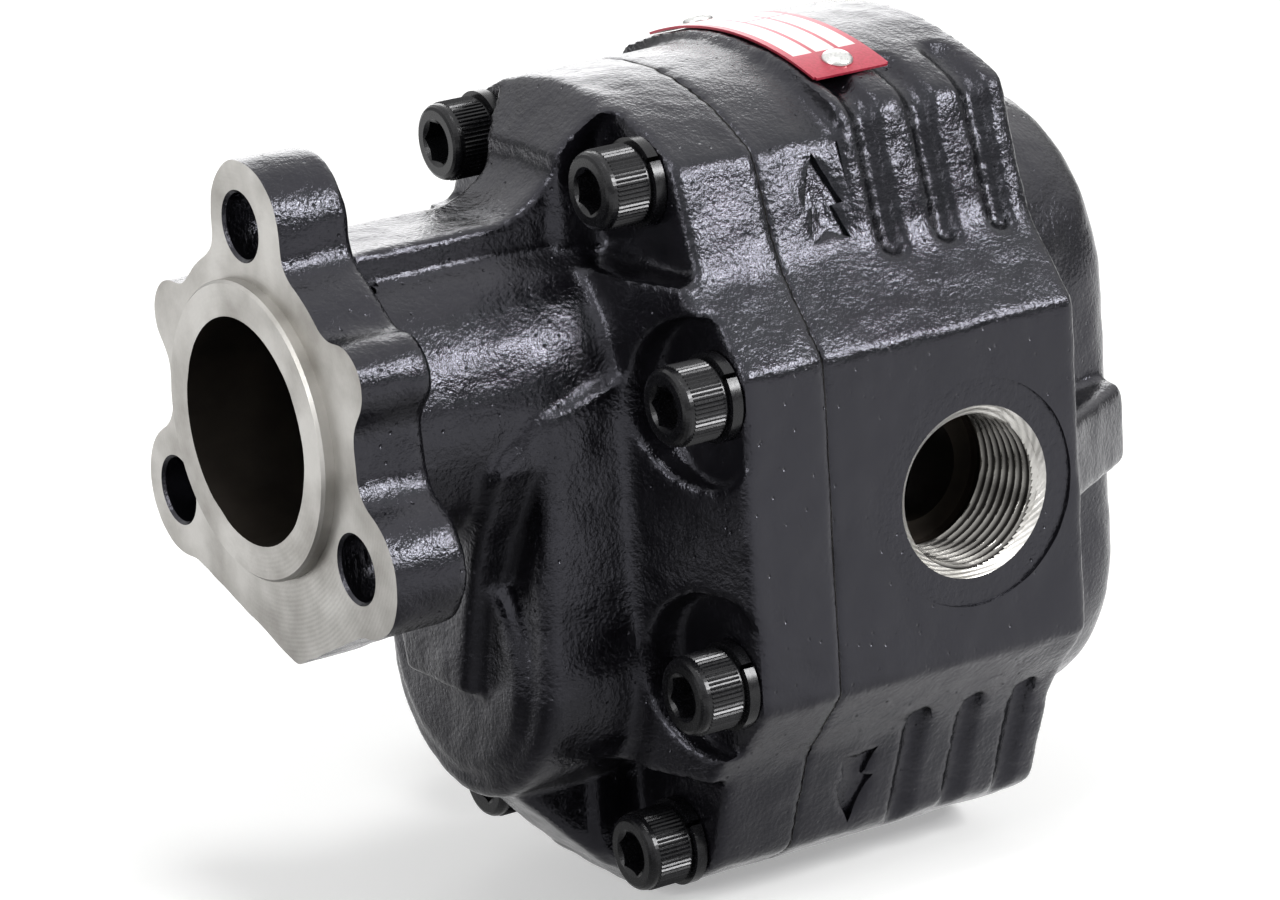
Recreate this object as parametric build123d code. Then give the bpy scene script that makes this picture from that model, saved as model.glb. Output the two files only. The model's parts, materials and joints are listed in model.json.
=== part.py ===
from build123d import *
from math import atan2, cos, degrees, pi, radians, sin, sqrt, tan
import os

# Bi-rotational cast-iron gear pump with a three-bolt pilot flange, in millimetres.
# The origin is the centre of the pilot on the flange mounting face. The drive axis runs
# along Y, the flange faces -Y, the body lies towards +Y, the driven gear lies below the
# drive gear and +Z is up. The two ports face +X and -X.

# ---- Driving dimensions -------------------------------------------------------------------

# Mounting flange
BOLT_CIRCLE = 80.0          # pitch circle of the three mounting bolts
BOLT_HOLE = 13.0            # clearance for M12
BOLT_HOLE_CHAMFER = 0.6
BOLT_HOLE_DEPTH = 20.0      # drilled on into the ridge behind the upper lobe
PILOT_DIAMETER = 59.0
PILOT_HEIGHT = 2.7
PILOT_CHAMFER = 0.6
FLANGE_THICKNESS = 16.0
FLANGE_DISC_RADIUS = 36.0   # web of the flange between its lobes
BOLT_LOBE_RADIUS = 13.4
SIDE_LOBE_RADIUS = 8.0
SIDE_LOBE_REACH = 44.0      # from the drive axis to the tip of a side lobe
SIDE_LOBE_ANGLE = 26.0
FLANGE_HOLLOW_RADIUS = 6.5  # concave blends between the lobes
FLANGE_BACK_RADIUS = 1.5
CASTING_SHIFT = 1.8         # the raw outline sits this far to +X of the machined holes
FLANGE_FOOT_X = 7.0         # lowest corner of the flange
FLANGE_FOOT_DROP = 45.8

# Bore for the shaft and its seals
SEAL_BORE = 45.0
SEAL_SPACER = 1.5
CIRCLIP_Y = 41.0            # seat of the retaining ring, from the mounting face
WEEP_HOLE = 2.4
WEEP_HOLE_Y = 20.0
WEEP_HOLE_ANGLE = 64.0

# Front cover
COVER_FACE_Y = 91.5         # joint between front cover and body
COVER_PLATE = 19.5          # flat edge band of the cover
COVER_CROWN = 9.5           # how far the middle of the cover stands in front of its edge
NECK_RADIUS = 29.0
NECK_GROOVE_Y = 35.5
NECK_GROOVE_WIDTH = 2.0
NECK_GROOVE_DEPTH = 0.8
RIDGE_HALF_WIDTH = 11.5     # central web above the neck
RIDGE_HEIGHT = 33.0
RIDGE_FRONT_Y = 11.0        # the web starts inside the flange
RIDGE_RUN_OUT = 13.0        # length of the concave blend up to the cover
CHEEK_HALF_WIDTH = 31.0     # housing around the driven gear's front bush
CHEEK_FRONT_Y = 39.5        # at the lower end
CHEEK_SHOULDER_Y = 45.5     # the front leans back towards the drive axis
CHEEK_TOP_Z = 3.0
CHEEK_SHOULDER_Z = -2.0
CHEEK_RIM_RADIUS = 3.5
PAD_RADIUS = 24.5           # flat round pad on the end of the driven-gear housing
PAD_FRONT_Y = 39.0
SKIRT_FRONT_Y = 34.5        # gusset between the neck and the driven-gear housing
SKIRT_TOP_HALF_WIDTH = 30.0
SKIRT_TOP_Z = -11.0
SKIRT_WAIST = (20.5, -29.0)
SKIRT_FOOT_HALF_WIDTH = 11.5
SKIRT_FOOT_Z = -60.0
SKIRT_RIM_RADIUS = 1.8
SHOULDER_DROP = 1.4         # the cover's front falls this much out to the housing's sides
END_SLOPE = 1.25            # rise of the cover's sloping ends for each mm towards the body

# Body outline, about the middle between the two gear axes
CENTRE_DISTANCE = 54.0
BODY_LENGTH = 60.0
BODY_HALF_HEIGHT = 83.0
PORT_FACE_X = 59.3
CROWN_RADIUS = 68.0
CROWN_HALF_WIDTH = 38.4
BODY_CROWN_HALF_HEIGHT = 84.8   # the body's top is a little higher and flatter
BODY_CROWN_RADIUS = 90.0
BODY_CROWN_START_Y = 111.0
FACET_BEND_X = 46.0
FACET_BEND_Z = 50.0
PORT_FACE_HALF_HEIGHT = 34.0
OUTLINE_CORNER_RADIUS = 3.5
CROWN_CORNER_RADIUS = 5.0
FACET_BEND_RADIUS = 22.0

# Cast grooves and arrow pockets of the slanted facets
GROOVE_PITCH = 13.0
GROOVE_WIDTH = 4.6
GROOVE_DEPTH = 2.4
GROOVE_TOP = 80.0
GROOVE_BOTTOM = 48.5
GROOVE_COUNT = 3
ARROW_LENGTH = 18.0
ARROW_WIDTH = 9.0
ARROW_DEPTH = 1.8

# Ports, G1 parallel thread
PORT_MINOR = 30.3
PORT_CHAMFER = 34.8
PORT_SPOTFACE = 46.0
PORT_SPOTFACE_DEPTH = 0.8
PORT_THREAD_DEPTH = 22.0    # below the spotface
PORT_PASSAGE = 22.0         # from the thread to the gear chamber
PORT_Y_OFFSET = 4.0         # behind the middle of the body

# Closed rear end of the body
REAR_EDGE_RADIUS = 1.5
REAR_BOSS_RADIUS = 44.0     # domed housing of the gear chamber's end and the rear bushes
REAR_BOSS_TAPER = 15.0
REAR_BOSS_EDGE_RADIUS = 12.0
REAR_LENGTH = 28.0
RIB_HALF_HEIGHT = 8.9
RIB_TOP_HALF_WIDTH = 42.0
RIB_LENGTH = 24.0
RIB_EDGE_RADIUS = 3.0

# Gears and shafts
TEETH = 12
MODULE = 4.5
PRESSURE_ANGLE = 20.0
ADDENDUM = 0.95             # in modules
DEDENDUM = 1.2              # in modules
BACKLASH = 0.16             # circumferential, on each gear
PLATE_THICKNESS = 6.0
END_CLEARANCE = 0.05
GEAR_CASE_CLEARANCE = 0.08
JOURNAL_RADIUS = 15.0
JOURNAL_CLEARANCE = 0.04
BUSH_WALL = 2.5
BUSH_LENGTH = 22.0
REAR_BUSH_LENGTH = 16.0
SHAFT_END_Y = 21.0
SPLINE_END_Y = 38.0
SPLINE_MAJOR = 25.0
SPLINE_MINOR = 21.0
SPLINE_KEY_WIDTH = 5.0
SPLINE_KEYS = 6

# Wear plates and seals
PLATE_EDGE_CLEARANCE = 0.05
PLATE_JOURNAL_CLEARANCE = 0.5
PLATE_SEAL_INSET = 4.0
PLATE_SEAL_WIDTH = 2.2
PLATE_SEAL_DEPTH = 2.4
BACKUP_WIDTH = 1.2
CASE_SEAL_RADIUS = 36.2
CASE_SEAL_WIDTH = 2.6
CASE_SEAL_DEPTH = 2.0
SHAFT_SEAL_WIDTH = 8.0
SHAFT_SEAL_LIP = 0.1        # radial gap between lip and shaft
CIRCLIP_WIDTH = 1.75
CIRCLIP_GROOVE = 47.5
CIRCLIP_RADIAL = 4.0

# Fasteners and dowels
SCREW_DIAMETER = 10.0
SCREW_HEAD_DIAMETER = 16.0
SCREW_HEAD_HEIGHT = 10.0
SCREW_HEX = 8.0
SCREW_HEX_DEPTH = 5.0
SCREW_HOLE = 11.0           # clearance through the cover
SCREW_LENGTH = 45.0
TAPPED_DEPTH_SPARE = 5.0    # the tapped hole runs on past the screw's end
WASHER_DIAMETER = 17.6
WASHER_THICKNESS = 2.3
END_SCREW_X = 28.0
END_SCREW_Z = 67.3
SIDE_SCREW_X = 50.3
SIDE_SCREW_Z = 29.0
END_POCKET_RADIUS = 15.0
SIDE_POCKET_RADIUS = 16.5
SIDE_POCKET_X = 48.3
SIDE_POCKET_Z = 27.5        # from the middle of the body
END_POCKET_LEDGE_Z = 50.5
DOWEL_DIAMETER = 8.0
DOWEL_LENGTH = 16.0
DOWEL_X = 36.5
DOWEL_Z = 52.5

# Nameplate
PLATE_SIZE_X = 59.0
PLATE_SIZE_Y = 18.0
NAMEPLATE_THICKNESS = 0.6
RIVET_SPACING = 49.0
RIVET_HEAD = 6.4
RIVET_SHANK = 2.2

# ---- Derived places -----------------------------------------------------------------------

MIDDLE_Z = -CENTRE_DISTANCE / 2
DRIVE_AXIS = (0.0, 0.0)
DRIVEN_AXIS = (0.0, -CENTRE_DISTANCE)
AXES = (DRIVE_AXIS, DRIVEN_AXIS)
EDGE_FRONT_Y = COVER_FACE_Y - COVER_PLATE
COVER_FRONT_Y = EDGE_FRONT_Y - COVER_CROWN
BODY_REAR_Y = COVER_FACE_Y + BODY_LENGTH
REAR_END_Y = BODY_REAR_Y + REAR_LENGTH
BODY_MIDDLE_Y = COVER_FACE_Y + BODY_LENGTH / 2
PORT_Y = BODY_MIDDLE_Y + PORT_Y_OFFSET
CHAMBER_END_Y = 2 * PORT_Y - COVER_FACE_Y
GEAR_OUTER_RADIUS = MODULE * (TEETH / 2 + ADDENDUM)
CASE_BORE_RADIUS = GEAR_OUTER_RADIUS + GEAR_CASE_CLEARANCE
GEAR_FRONT_Y = COVER_FACE_Y + PLATE_THICKNESS + END_CLEARANCE
GEAR_REAR_Y = CHAMBER_END_Y - PLATE_THICKNESS - END_CLEARANCE
BUSH_INNER_RADIUS = JOURNAL_RADIUS + JOURNAL_CLEARANCE
BUSH_OUTER_RADIUS = BUSH_INNER_RADIUS + BUSH_WALL
BUSH_FRONT_Y = COVER_FACE_Y - BUSH_LENGTH
ARROW_Y = COVER_FACE_Y + GROOVE_PITCH
BUSH_REAR_Y = CHAMBER_END_Y + REAR_BUSH_LENGTH
OUTER_SEAL_Y = CIRCLIP_Y + CIRCLIP_WIDTH
INNER_SEAL_Y = OUTER_SEAL_Y + SHAFT_SEAL_WIDTH
SPACER_Y = INNER_SEAL_Y + SHAFT_SEAL_WIDTH
SEAL_BORE_DEPTH = SPACER_Y + SEAL_SPACER
POCKET_FLOOR_Y = EDGE_FRONT_Y + 0.5
HEAD_SEAT_Y = POCKET_FLOOR_Y - WASHER_THICKNESS
SCREW_END_Y = HEAD_SEAT_Y + SCREW_LENGTH


def frame_at(y):
    """Sketch plane at distance y along the drive axis, with local x = X and local y = Z."""
    return Plane(origin=(0, y, 0), x_dir=(1, 0, 0), z_dir=(0, -1, 0))


def prism(sketch, y_start, y_end, taper=0.0):
    """Solid of one section between two distances along the drive axis, drawn at y_end."""
    return extrude(frame_at(y_end) * sketch, amount=y_end - y_start, taper=taper)


def prism_back(sketch, y_start, y_end, taper=0.0):
    """Like prism, but drawn at y_start and tapered towards y_end."""
    return extrude(frame_at(y_start) * sketch, amount=-(y_end - y_start), taper=taper)


def disc(radius, centre=DRIVE_AXIS):
    return Pos(centre[0], centre[1]) * Circle(radius)


def rod(radius, y_start, y_end, centre=DRIVE_AXIS):
    return prism(disc(radius, centre), y_start, y_end)


def mirrored(sketch):
    """The sketch together with its mirror image in the YZ plane."""
    return sketch + mirror(sketch, about=Plane.YZ)


def flipped(sketch):
    """The mirror image of a sketch in the plane midway between the two gear axes."""
    middle = Pos(0, MIDDLE_Z)
    return middle * mirror(middle.inverse() * sketch, about=Plane.XZ)


def screw_places():
    """Centres of the eight body screws: four near the ends, four beside the ports."""
    places = []
    for side in (1, -1):
        for half in (1, -1):
            places.append((side * END_SCREW_X, MIDDLE_Z + half * END_SCREW_Z))
            places.append((side * SIDE_SCREW_X, MIDDLE_Z + half * SIDE_SCREW_Z))
    return places


def dowel_places():
    return [(DOWEL_X, MIDDLE_Z + DOWEL_Z), (-DOWEL_X, MIDDLE_Z - DOWEL_Z)]


def figure_eight(radius):
    """Two overlapping discs, one on each gear axis."""
    return disc(radius, DRIVE_AXIS) + disc(radius, DRIVEN_AXIS)


def racetrack(radius):
    """Oval around both gear axes."""
    box = Pos(0, MIDDLE_Z) * Rectangle(2 * radius, CENTRE_DISTANCE)
    return box + figure_eight(radius)


# ---- Outline shared by body and covers ------------------------------------------------------

def crown_corner(half_height, crown_radius):
    """Height above the middle at which an arched top meets the slanted facets."""
    return half_height - crown_radius + sqrt(crown_radius**2 - CROWN_HALF_WIDTH**2)


def body_outline(half_height, crown_radius):
    """Section of the body: flat port faces, slanted facets and an arched top and bottom."""
    corner = crown_corner(half_height, crown_radius)
    half = [
        (0, 0),
        (PORT_FACE_X, 0),
        (PORT_FACE_X, PORT_FACE_HALF_HEIGHT),
        (FACET_BEND_X, FACET_BEND_Z),
        (CROWN_HALF_WIDTH, corner),
    ]
    edge = Polyline(*half)
    crown = RadiusArc((CROWN_HALF_WIDTH, corner), (0, half_height), -crown_radius)
    quarter = make_face(edge + crown + Line((0, half_height), (0, 0)))
    upper = quarter + mirror(quarter, about=Plane.YZ)
    whole = upper + mirror(upper, about=Plane.XZ)
    corners = [v for v in whole.vertices() if abs(v.X) > PORT_FACE_X - 1 and abs(v.Y) > 1]
    whole = fillet(corners, OUTLINE_CORNER_RADIUS)
    corners = [v for v in whole.vertices() if abs(abs(v.X) - CROWN_HALF_WIDTH) < 0.1]
    whole = fillet(corners, CROWN_CORNER_RADIUS)
    bends = [v for v in whole.vertices() if abs(abs(v.X) - FACET_BEND_X) < 0.1]
    whole = fillet(bends, FACET_BEND_RADIUS)
    return Pos(0, MIDDLE_Z) * whole


# ---- Front cover ------------------------------------------------------------------------------

def flange_outline():
    """Three bolt lobes, two smaller side lobes and a shallow V along the foot."""
    centre = Pos(CASTING_SHIFT, 0)
    reach = BOLT_CIRCLE / 2
    shape = centre * Circle(FLANGE_DISC_RADIUS)
    for angle in (90, 210, 330):
        place = (reach * cos(radians(angle)), reach * sin(radians(angle)))
        shape += centre * Pos(*place) * Circle(BOLT_LOBE_RADIUS)
    side_reach = SIDE_LOBE_REACH - SIDE_LOBE_RADIUS
    for angle in (SIDE_LOBE_ANGLE, 180 - SIDE_LOBE_ANGLE):
        place = (side_reach * cos(radians(angle)), side_reach * sin(radians(angle)))
        shape += centre * Pos(*place) * Circle(SIDE_LOBE_RADIUS)
    foot_x = reach * cos(radians(30))
    foot_z = -reach * sin(radians(30)) - BOLT_LOBE_RADIUS
    shape += centre * make_face(
        Polyline(
            (-foot_x, foot_z + 1.6),
            (FLANGE_FOOT_X, -FLANGE_FOOT_DROP),
            (foot_x, foot_z + 0.6),
            (foot_x, 0),
            (-foot_x, 0),
            close=True,
        )
    )
    hollows = []
    for vertex in shape.vertices():
        if vertex.Y > -12 and abs(vertex.X - CASTING_SHIFT) > 1:
            hollows.append(vertex)
    return fillet(hollows, FLANGE_HOLLOW_RADIUS)


def cover_block():
    """Edge band whose front rises to a low roof and slopes away at the top and bottom."""
    outline = body_outline(BODY_HALF_HEIGHT, CROWN_RADIUS)
    block = prism(outline, COVER_FRONT_Y, COVER_FACE_Y)
    roof = make_face(
        Polyline(
            (-PORT_FACE_X, COVER_FACE_Y + 1),
            (-PORT_FACE_X, EDGE_FRONT_Y),
            (-CHEEK_HALF_WIDTH - 2, COVER_FRONT_Y + SHOULDER_DROP),
            (-RIDGE_HALF_WIDTH, COVER_FRONT_Y),
            (RIDGE_HALF_WIDTH, COVER_FRONT_Y),
            (CHEEK_HALF_WIDTH + 2, COVER_FRONT_Y + SHOULDER_DROP),
            (PORT_FACE_X, EDGE_FRONT_Y),
            (PORT_FACE_X, COVER_FACE_Y + 1),
            close=True,
        )
    )
    height = 4 * BODY_HALF_HEIGHT
    block &= Pos(0, 0, MIDDLE_Z - height / 2) * extrude(roof, amount=height)
    front = COVER_FRONT_Y - 1
    slope_end = BODY_HALF_HEIGHT - END_SLOPE * (EDGE_FRONT_Y - front)
    beyond = BODY_HALF_HEIGHT + END_SLOPE * COVER_PLATE
    gable = make_face(
        Polyline(
            (front, -slope_end),
            (front, slope_end),
            (COVER_FACE_Y, beyond),
            (COVER_FACE_Y + 1, beyond),
            (COVER_FACE_Y + 1, -beyond),
            (COVER_FACE_Y, -beyond),
            close=True,
        )
    )
    gable = extrude(Plane.YZ * gable, amount=2 * PORT_FACE_X, both=True)
    return block & Pos(0, 0, MIDDLE_Z) * gable


def cheek_outline(grow=0.0):
    """Housing of the driven gear's front bush: straight sides and a round lower end."""
    width = CHEEK_HALF_WIDTH + grow
    height = CENTRE_DISTANCE + CHEEK_TOP_Z
    sides = Pos(0, CHEEK_TOP_Z - height / 2) * Rectangle(2 * width, height)
    return sides + disc(width, DRIVEN_AXIS)


def driven_housing():
    """Block around the driven gear's front bush, its front leaning back at the top."""
    depth = COVER_FRONT_Y + 4
    bottom = -CENTRE_DISTANCE - CHEEK_HALF_WIDTH - 1
    block = prism(cheek_outline(), CHEEK_FRONT_Y - 1, depth)
    side = make_face(
        Polyline(
            (CHEEK_FRONT_Y, bottom),
            (CHEEK_SHOULDER_Y, CHEEK_SHOULDER_Z),
            (COVER_FRONT_Y, CHEEK_TOP_Z),
            (depth, CHEEK_TOP_Z + 1),
            (depth, bottom),
            close=True,
        )
    )
    block &= extrude(Plane.YZ * side, amount=2 * CHEEK_HALF_WIDTH, both=True)
    rim = [e for e in block.edges() if e.bounding_box().max.Y < CHEEK_SHOULDER_Y + 0.1]
    return fillet(rim, CHEEK_RIM_RADIUS)


def neck_gusset():
    """Web under the neck, wide at the neck and narrow at the driven-gear housing."""
    top = (SKIRT_TOP_HALF_WIDTH, SKIRT_TOP_Z)
    foot = (SKIRT_FOOT_HALF_WIDTH, SKIRT_FOOT_Z)
    flank = ThreePointArc(top, SKIRT_WAIST, foot)
    above = (SKIRT_TOP_HALF_WIDTH, CHEEK_TOP_Z)
    half = make_face(flank + Polyline(foot, (0, SKIRT_FOOT_Z), (0, CHEEK_TOP_Z), above, top))
    web = prism(mirrored(half), SKIRT_FRONT_Y, CHEEK_SHOULDER_Y + 5)
    side = make_face(
        Polyline(
            (SKIRT_FRONT_Y - 1, 2 * SKIRT_FOOT_Z),
            (SKIRT_FRONT_Y - 1, SKIRT_TOP_Z - 1),
            (SKIRT_FRONT_Y, SKIRT_TOP_Z),
            (CHEEK_SHOULDER_Y - 1, CHEEK_SHOULDER_Z),
            (CHEEK_SHOULDER_Y + 6, CHEEK_SHOULDER_Z + 1),
            (CHEEK_SHOULDER_Y + 6, 2 * SKIRT_FOOT_Z),
            close=True,
        )
    )
    web &= extrude(Plane.YZ * side, amount=2 * CHEEK_HALF_WIDTH, both=True)
    rim = [e for e in web.edges() if e.bounding_box().max.Y < SKIRT_FRONT_Y + 0.1]
    return fillet(rim, SKIRT_RIM_RADIUS)


def web_above_neck():
    """Central ridge that rises from the neck to the top of the cover."""
    start = (COVER_FRONT_Y - RIDGE_RUN_OUT, RIDGE_HEIGHT)
    turn = (COVER_FRONT_Y + 1.5, RIDGE_HEIGHT + 12)
    top = (EDGE_FRONT_Y + 1.5, BODY_HALF_HEIGHT + MIDDLE_Z - 0.5)
    blend = ThreePointArc(start, (COVER_FRONT_Y - 4, RIDGE_HEIGHT + 4), turn)
    side = make_face(
        blend
        + Polyline(
            turn,
            top,
            (top[0] + 1, RIDGE_HEIGHT),
            (top[0] + 1, 0),
            (RIDGE_FRONT_Y, 0),
            (RIDGE_FRONT_Y, RIDGE_HEIGHT),
            start,
        )
    )
    return extrude(Plane.YZ * side, amount=RIDGE_HALF_WIDTH, both=True)


def web_below_housing():
    """Sloping gusset from the driven-gear housing to the bottom of the cover."""
    bottom = MIDDLE_Z - BODY_HALF_HEIGHT
    side = make_face(
        Polyline(
            (CHEEK_FRONT_Y + 4, -CENTRE_DISTANCE),
            (CHEEK_FRONT_Y + 4, -CENTRE_DISTANCE - CHEEK_HALF_WIDTH + 3),
            (COVER_FRONT_Y + 2, bottom + 7),
            (EDGE_FRONT_Y, bottom + 3),
            (EDGE_FRONT_Y, -CENTRE_DISTANCE),
            close=True,
        )
    )
    return extrude(Plane.YZ * side, amount=RIDGE_HALF_WIDTH, both=True)


def screw_pockets():
    """Recesses for the screw heads, open towards the edge of the cover."""
    keep = disc(NECK_RADIUS - 1) + cheek_outline(-1)
    outside = PORT_FACE_X + 20
    shape = None
    for side in (1, -1):
        for half in (1, -1):
            end_z = MIDDLE_Z + half * END_SCREW_Z
            ledge_z = MIDDLE_Z + half * END_POCKET_LEDGE_Z
            end = disc(END_POCKET_RADIUS, (side * END_SCREW_X, end_z))
            inner = END_SCREW_X - END_POCKET_RADIUS
            end += Pos(side * (inner + outside) / 2, (end_z + ledge_z) / 2) * Rectangle(
                outside - inner, END_SCREW_Z - END_POCKET_LEDGE_Z
            )
            middle_place = (side * SIDE_POCKET_X, MIDDLE_Z + half * SIDE_POCKET_Z)
            middle = disc(SIDE_POCKET_RADIUS, middle_place)
            both = end + middle
            shape = both if shape is None else shape + both
    return prism(shape - keep, COVER_FRONT_Y - 5, POCKET_FLOOR_Y)


def screw_holes(diameter, y_start, y_end):
    holes = None
    for place in screw_places():
        hole = rod(diameter / 2, y_start, y_end, place)
        holes = hole if holes is None else holes + hole
    return holes


def dowel_holes(y_joint, sign):
    """Two blind holes behind (sign 1) or in front of (sign -1) a joint face."""
    depth = DOWEL_LENGTH / 2
    low, high = sorted((y_joint, y_joint + sign * depth))
    holes = None
    for place in dowel_places():
        hole = rod(DOWEL_DIAMETER / 2, low, high, place)
        holes = hole if holes is None else holes + hole
    return holes


def case_seal(y_start, y_end):
    """Oval ring around both gear bores."""
    ring = racetrack(CASE_SEAL_RADIUS + CASE_SEAL_WIDTH / 2)
    ring -= racetrack(CASE_SEAL_RADIUS - CASE_SEAL_WIDTH / 2)
    return prism(ring, y_start, y_end)


def mounting_flange():
    """Flange plate with a softened back edge."""
    plate = prism(flange_outline(), 0, FLANGE_THICKNESS)
    back = [e for e in plate.edges() if e.bounding_box().min.Y > FLANGE_THICKNESS - 0.1]
    return fillet(back, FLANGE_BACK_RADIUS)


def bolt_hole_cutters():
    """Three mounting-bolt holes with chamfered mouths."""
    radius = BOLT_HOLE / 2
    profile = make_face(
        Polyline(
            (0, -1),
            (radius + BOLT_HOLE_CHAMFER + 1, -1),
            (radius, BOLT_HOLE_CHAMFER),
            (radius, BOLT_HOLE_DEPTH),
            (0, BOLT_HOLE_DEPTH),
            close=True,
        )
    )
    drill = revolve(profile, Axis.Y, 360)
    holes = []
    for angle in (90, 210, 330):
        x = BOLT_CIRCLE / 2 * cos(radians(angle))
        z = BOLT_CIRCLE / 2 * sin(radians(angle))
        holes.append(Pos(x, 0, z) * drill)
    return holes


def shaft_bore():
    """Seal bore with its retaining-ring groove and the passage to the front bush."""
    bore = rod(SEAL_BORE / 2, -PILOT_HEIGHT - 1, SEAL_BORE_DEPTH)
    bore += rod(CIRCLIP_GROOVE / 2, CIRCLIP_Y, CIRCLIP_Y + CIRCLIP_WIDTH)
    bore += rod(JOURNAL_RADIUS + 1.5, SEAL_BORE_DEPTH - 1, BUSH_FRONT_Y + 1)
    return bore


def front_cover():
    """Flange, pilot, neck and driven-gear housing in one casting with the cover plate."""
    cover = rod(NECK_RADIUS, 2, COVER_FRONT_Y + 4)
    cover += mounting_flange()
    pilot = rod(PILOT_DIAMETER / 2, -PILOT_HEIGHT, 1)
    tip = [e for e in pilot.edges() if e.bounding_box().max.Y < -PILOT_HEIGHT + 0.1]
    cover += chamfer(tip, PILOT_CHAMFER)
    cover += web_above_neck()
    cover += driven_housing()
    cover += prism_back(disc(PAD_RADIUS, DRIVEN_AXIS), PAD_FRONT_Y, CHEEK_SHOULDER_Y)
    cover += neck_gusset()
    cover += web_below_housing()
    cover += cover_block() - screw_pockets()
    cover -= bolt_hole_cutters()
    cover -= shaft_bore()
    cover -= rod(BUSH_OUTER_RADIUS, BUSH_FRONT_Y, COVER_FACE_Y + 1)
    cover -= rod(BUSH_OUTER_RADIUS, BUSH_FRONT_Y, COVER_FACE_Y + 1, DRIVEN_AXIS)
    cover -= rod(JOURNAL_RADIUS - 2, BUSH_FRONT_Y - 3, BUSH_FRONT_Y + 1, DRIVEN_AXIS)
    cover -= screw_holes(SCREW_HOLE, COVER_FRONT_Y - 8, COVER_FACE_Y + 1)
    cover -= dowel_holes(COVER_FACE_Y, -1)
    cover -= case_seal(COVER_FACE_Y - CASE_SEAL_DEPTH, COVER_FACE_Y + 1)
    weep = Pos(0, WEEP_HOLE_Y, 0) * Rot(0, -WEEP_HOLE_ANGLE, 0)
    weep *= Pos(NECK_RADIUS, 0, 0) * Rot(0, 90, 0)
    cover -= weep * Cylinder(WEEP_HOLE / 2, NECK_RADIUS / 2 + 6)
    return cover


# ---- Body ---------------------------------------------------------------------------------------

def facet_lean(corner_z):
    """Tilt of a slanted facet whose upper edge lies this far above the middle."""
    return atan2(FACET_BEND_X - CROWN_HALF_WIDTH, corner_z - FACET_BEND_Z)


def facet_plane(corner_z):
    """Plane on the middle of the upper +X facet, with its own x along +Y."""
    lean = facet_lean(corner_z)
    middle = ((FACET_BEND_X + CROWN_HALF_WIDTH) / 2, 0, MIDDLE_Z + (corner_z + FACET_BEND_Z) / 2)
    return Plane(origin=middle, x_dir=(0, 1, 0), z_dir=(cos(lean), 0, sin(lean)))


def grooves(corner_z):
    """Three rounded grooves across a slanted facet with its upper edge at this height."""
    facet = facet_plane(corner_z)
    length = (GROOVE_TOP - GROOVE_BOTTOM) / cos(facet_lean(corner_z))
    cuts = None
    for index in range(1, GROOVE_COUNT + 1):
        place = Pos(ARROW_Y + index * GROOVE_PITCH, 0) * Rot(0, 0, 90)
        slot = place * SlotOverall(length, GROOVE_WIDTH)
        groove = extrude(facet * slot, amount=GROOVE_DEPTH, both=True)
        floor = [e for e in groove.edges() if (e @ 0.5 - facet.origin).dot(facet.z_dir) < 0]
        floor = [e for e in floor if abs((e @ 0 - e @ 1).dot(facet.z_dir)) < 0.1]
        groove = fillet(floor, GROOVE_WIDTH * 0.35)
        cuts = groove if cuts is None else cuts + groove
    return cuts


def arrow_pocket(corner_z):
    """Arrow sunk into a slanted facet, which shows a direction of flow."""
    half = ARROW_WIDTH / 2
    arrow = make_face(
        Polyline(
            (ARROW_Y - half, -ARROW_LENGTH * 0.1),
            (ARROW_Y, ARROW_LENGTH / 2),
            (ARROW_Y + half, -ARROW_LENGTH * 0.1),
            (ARROW_Y + half * 0.5, -ARROW_LENGTH * 0.1),
            (ARROW_Y + half, -ARROW_LENGTH / 2),
            (ARROW_Y, -ARROW_LENGTH * 0.36),
            (ARROW_Y - half, -ARROW_LENGTH / 2),
            (ARROW_Y - half * 0.5, -ARROW_LENGTH * 0.1),
            close=True,
        )
    )
    return extrude(facet_plane(corner_z) * arrow, amount=ARROW_DEPTH, both=True)


def facet_cuts():
    """Grooves and arrows of the four slanted facets, the upper ones on the raised top."""
    plain_corner = crown_corner(BODY_HALF_HEIGHT, CROWN_RADIUS)
    raised_corner = crown_corner(BODY_CROWN_HALF_HEIGHT, BODY_CROWN_RADIUS)
    middle = Plane(origin=(0, 0, MIDDLE_Z), z_dir=(0, 0, 1))
    arrow = arrow_pocket(plain_corner)
    cuts = grooves(raised_corner) + arrow
    cuts += mirror(grooves(plain_corner) + arrow, about=middle)
    return cuts + mirror(cuts, about=Plane.YZ)


def rear_outline():
    """Section of the body behind the arrows, where its top is higher and flatter."""
    raised = body_outline(BODY_CROWN_HALF_HEIGHT, BODY_CROWN_RADIUS)
    plain = body_outline(BODY_HALF_HEIGHT, CROWN_RADIUS)
    depth = 2 * BODY_CROWN_HALF_HEIGHT
    lower = Pos(0, MIDDLE_Z - depth / 2) * Rectangle(depth, depth)
    return (raised - lower) + (plain & lower)


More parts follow.
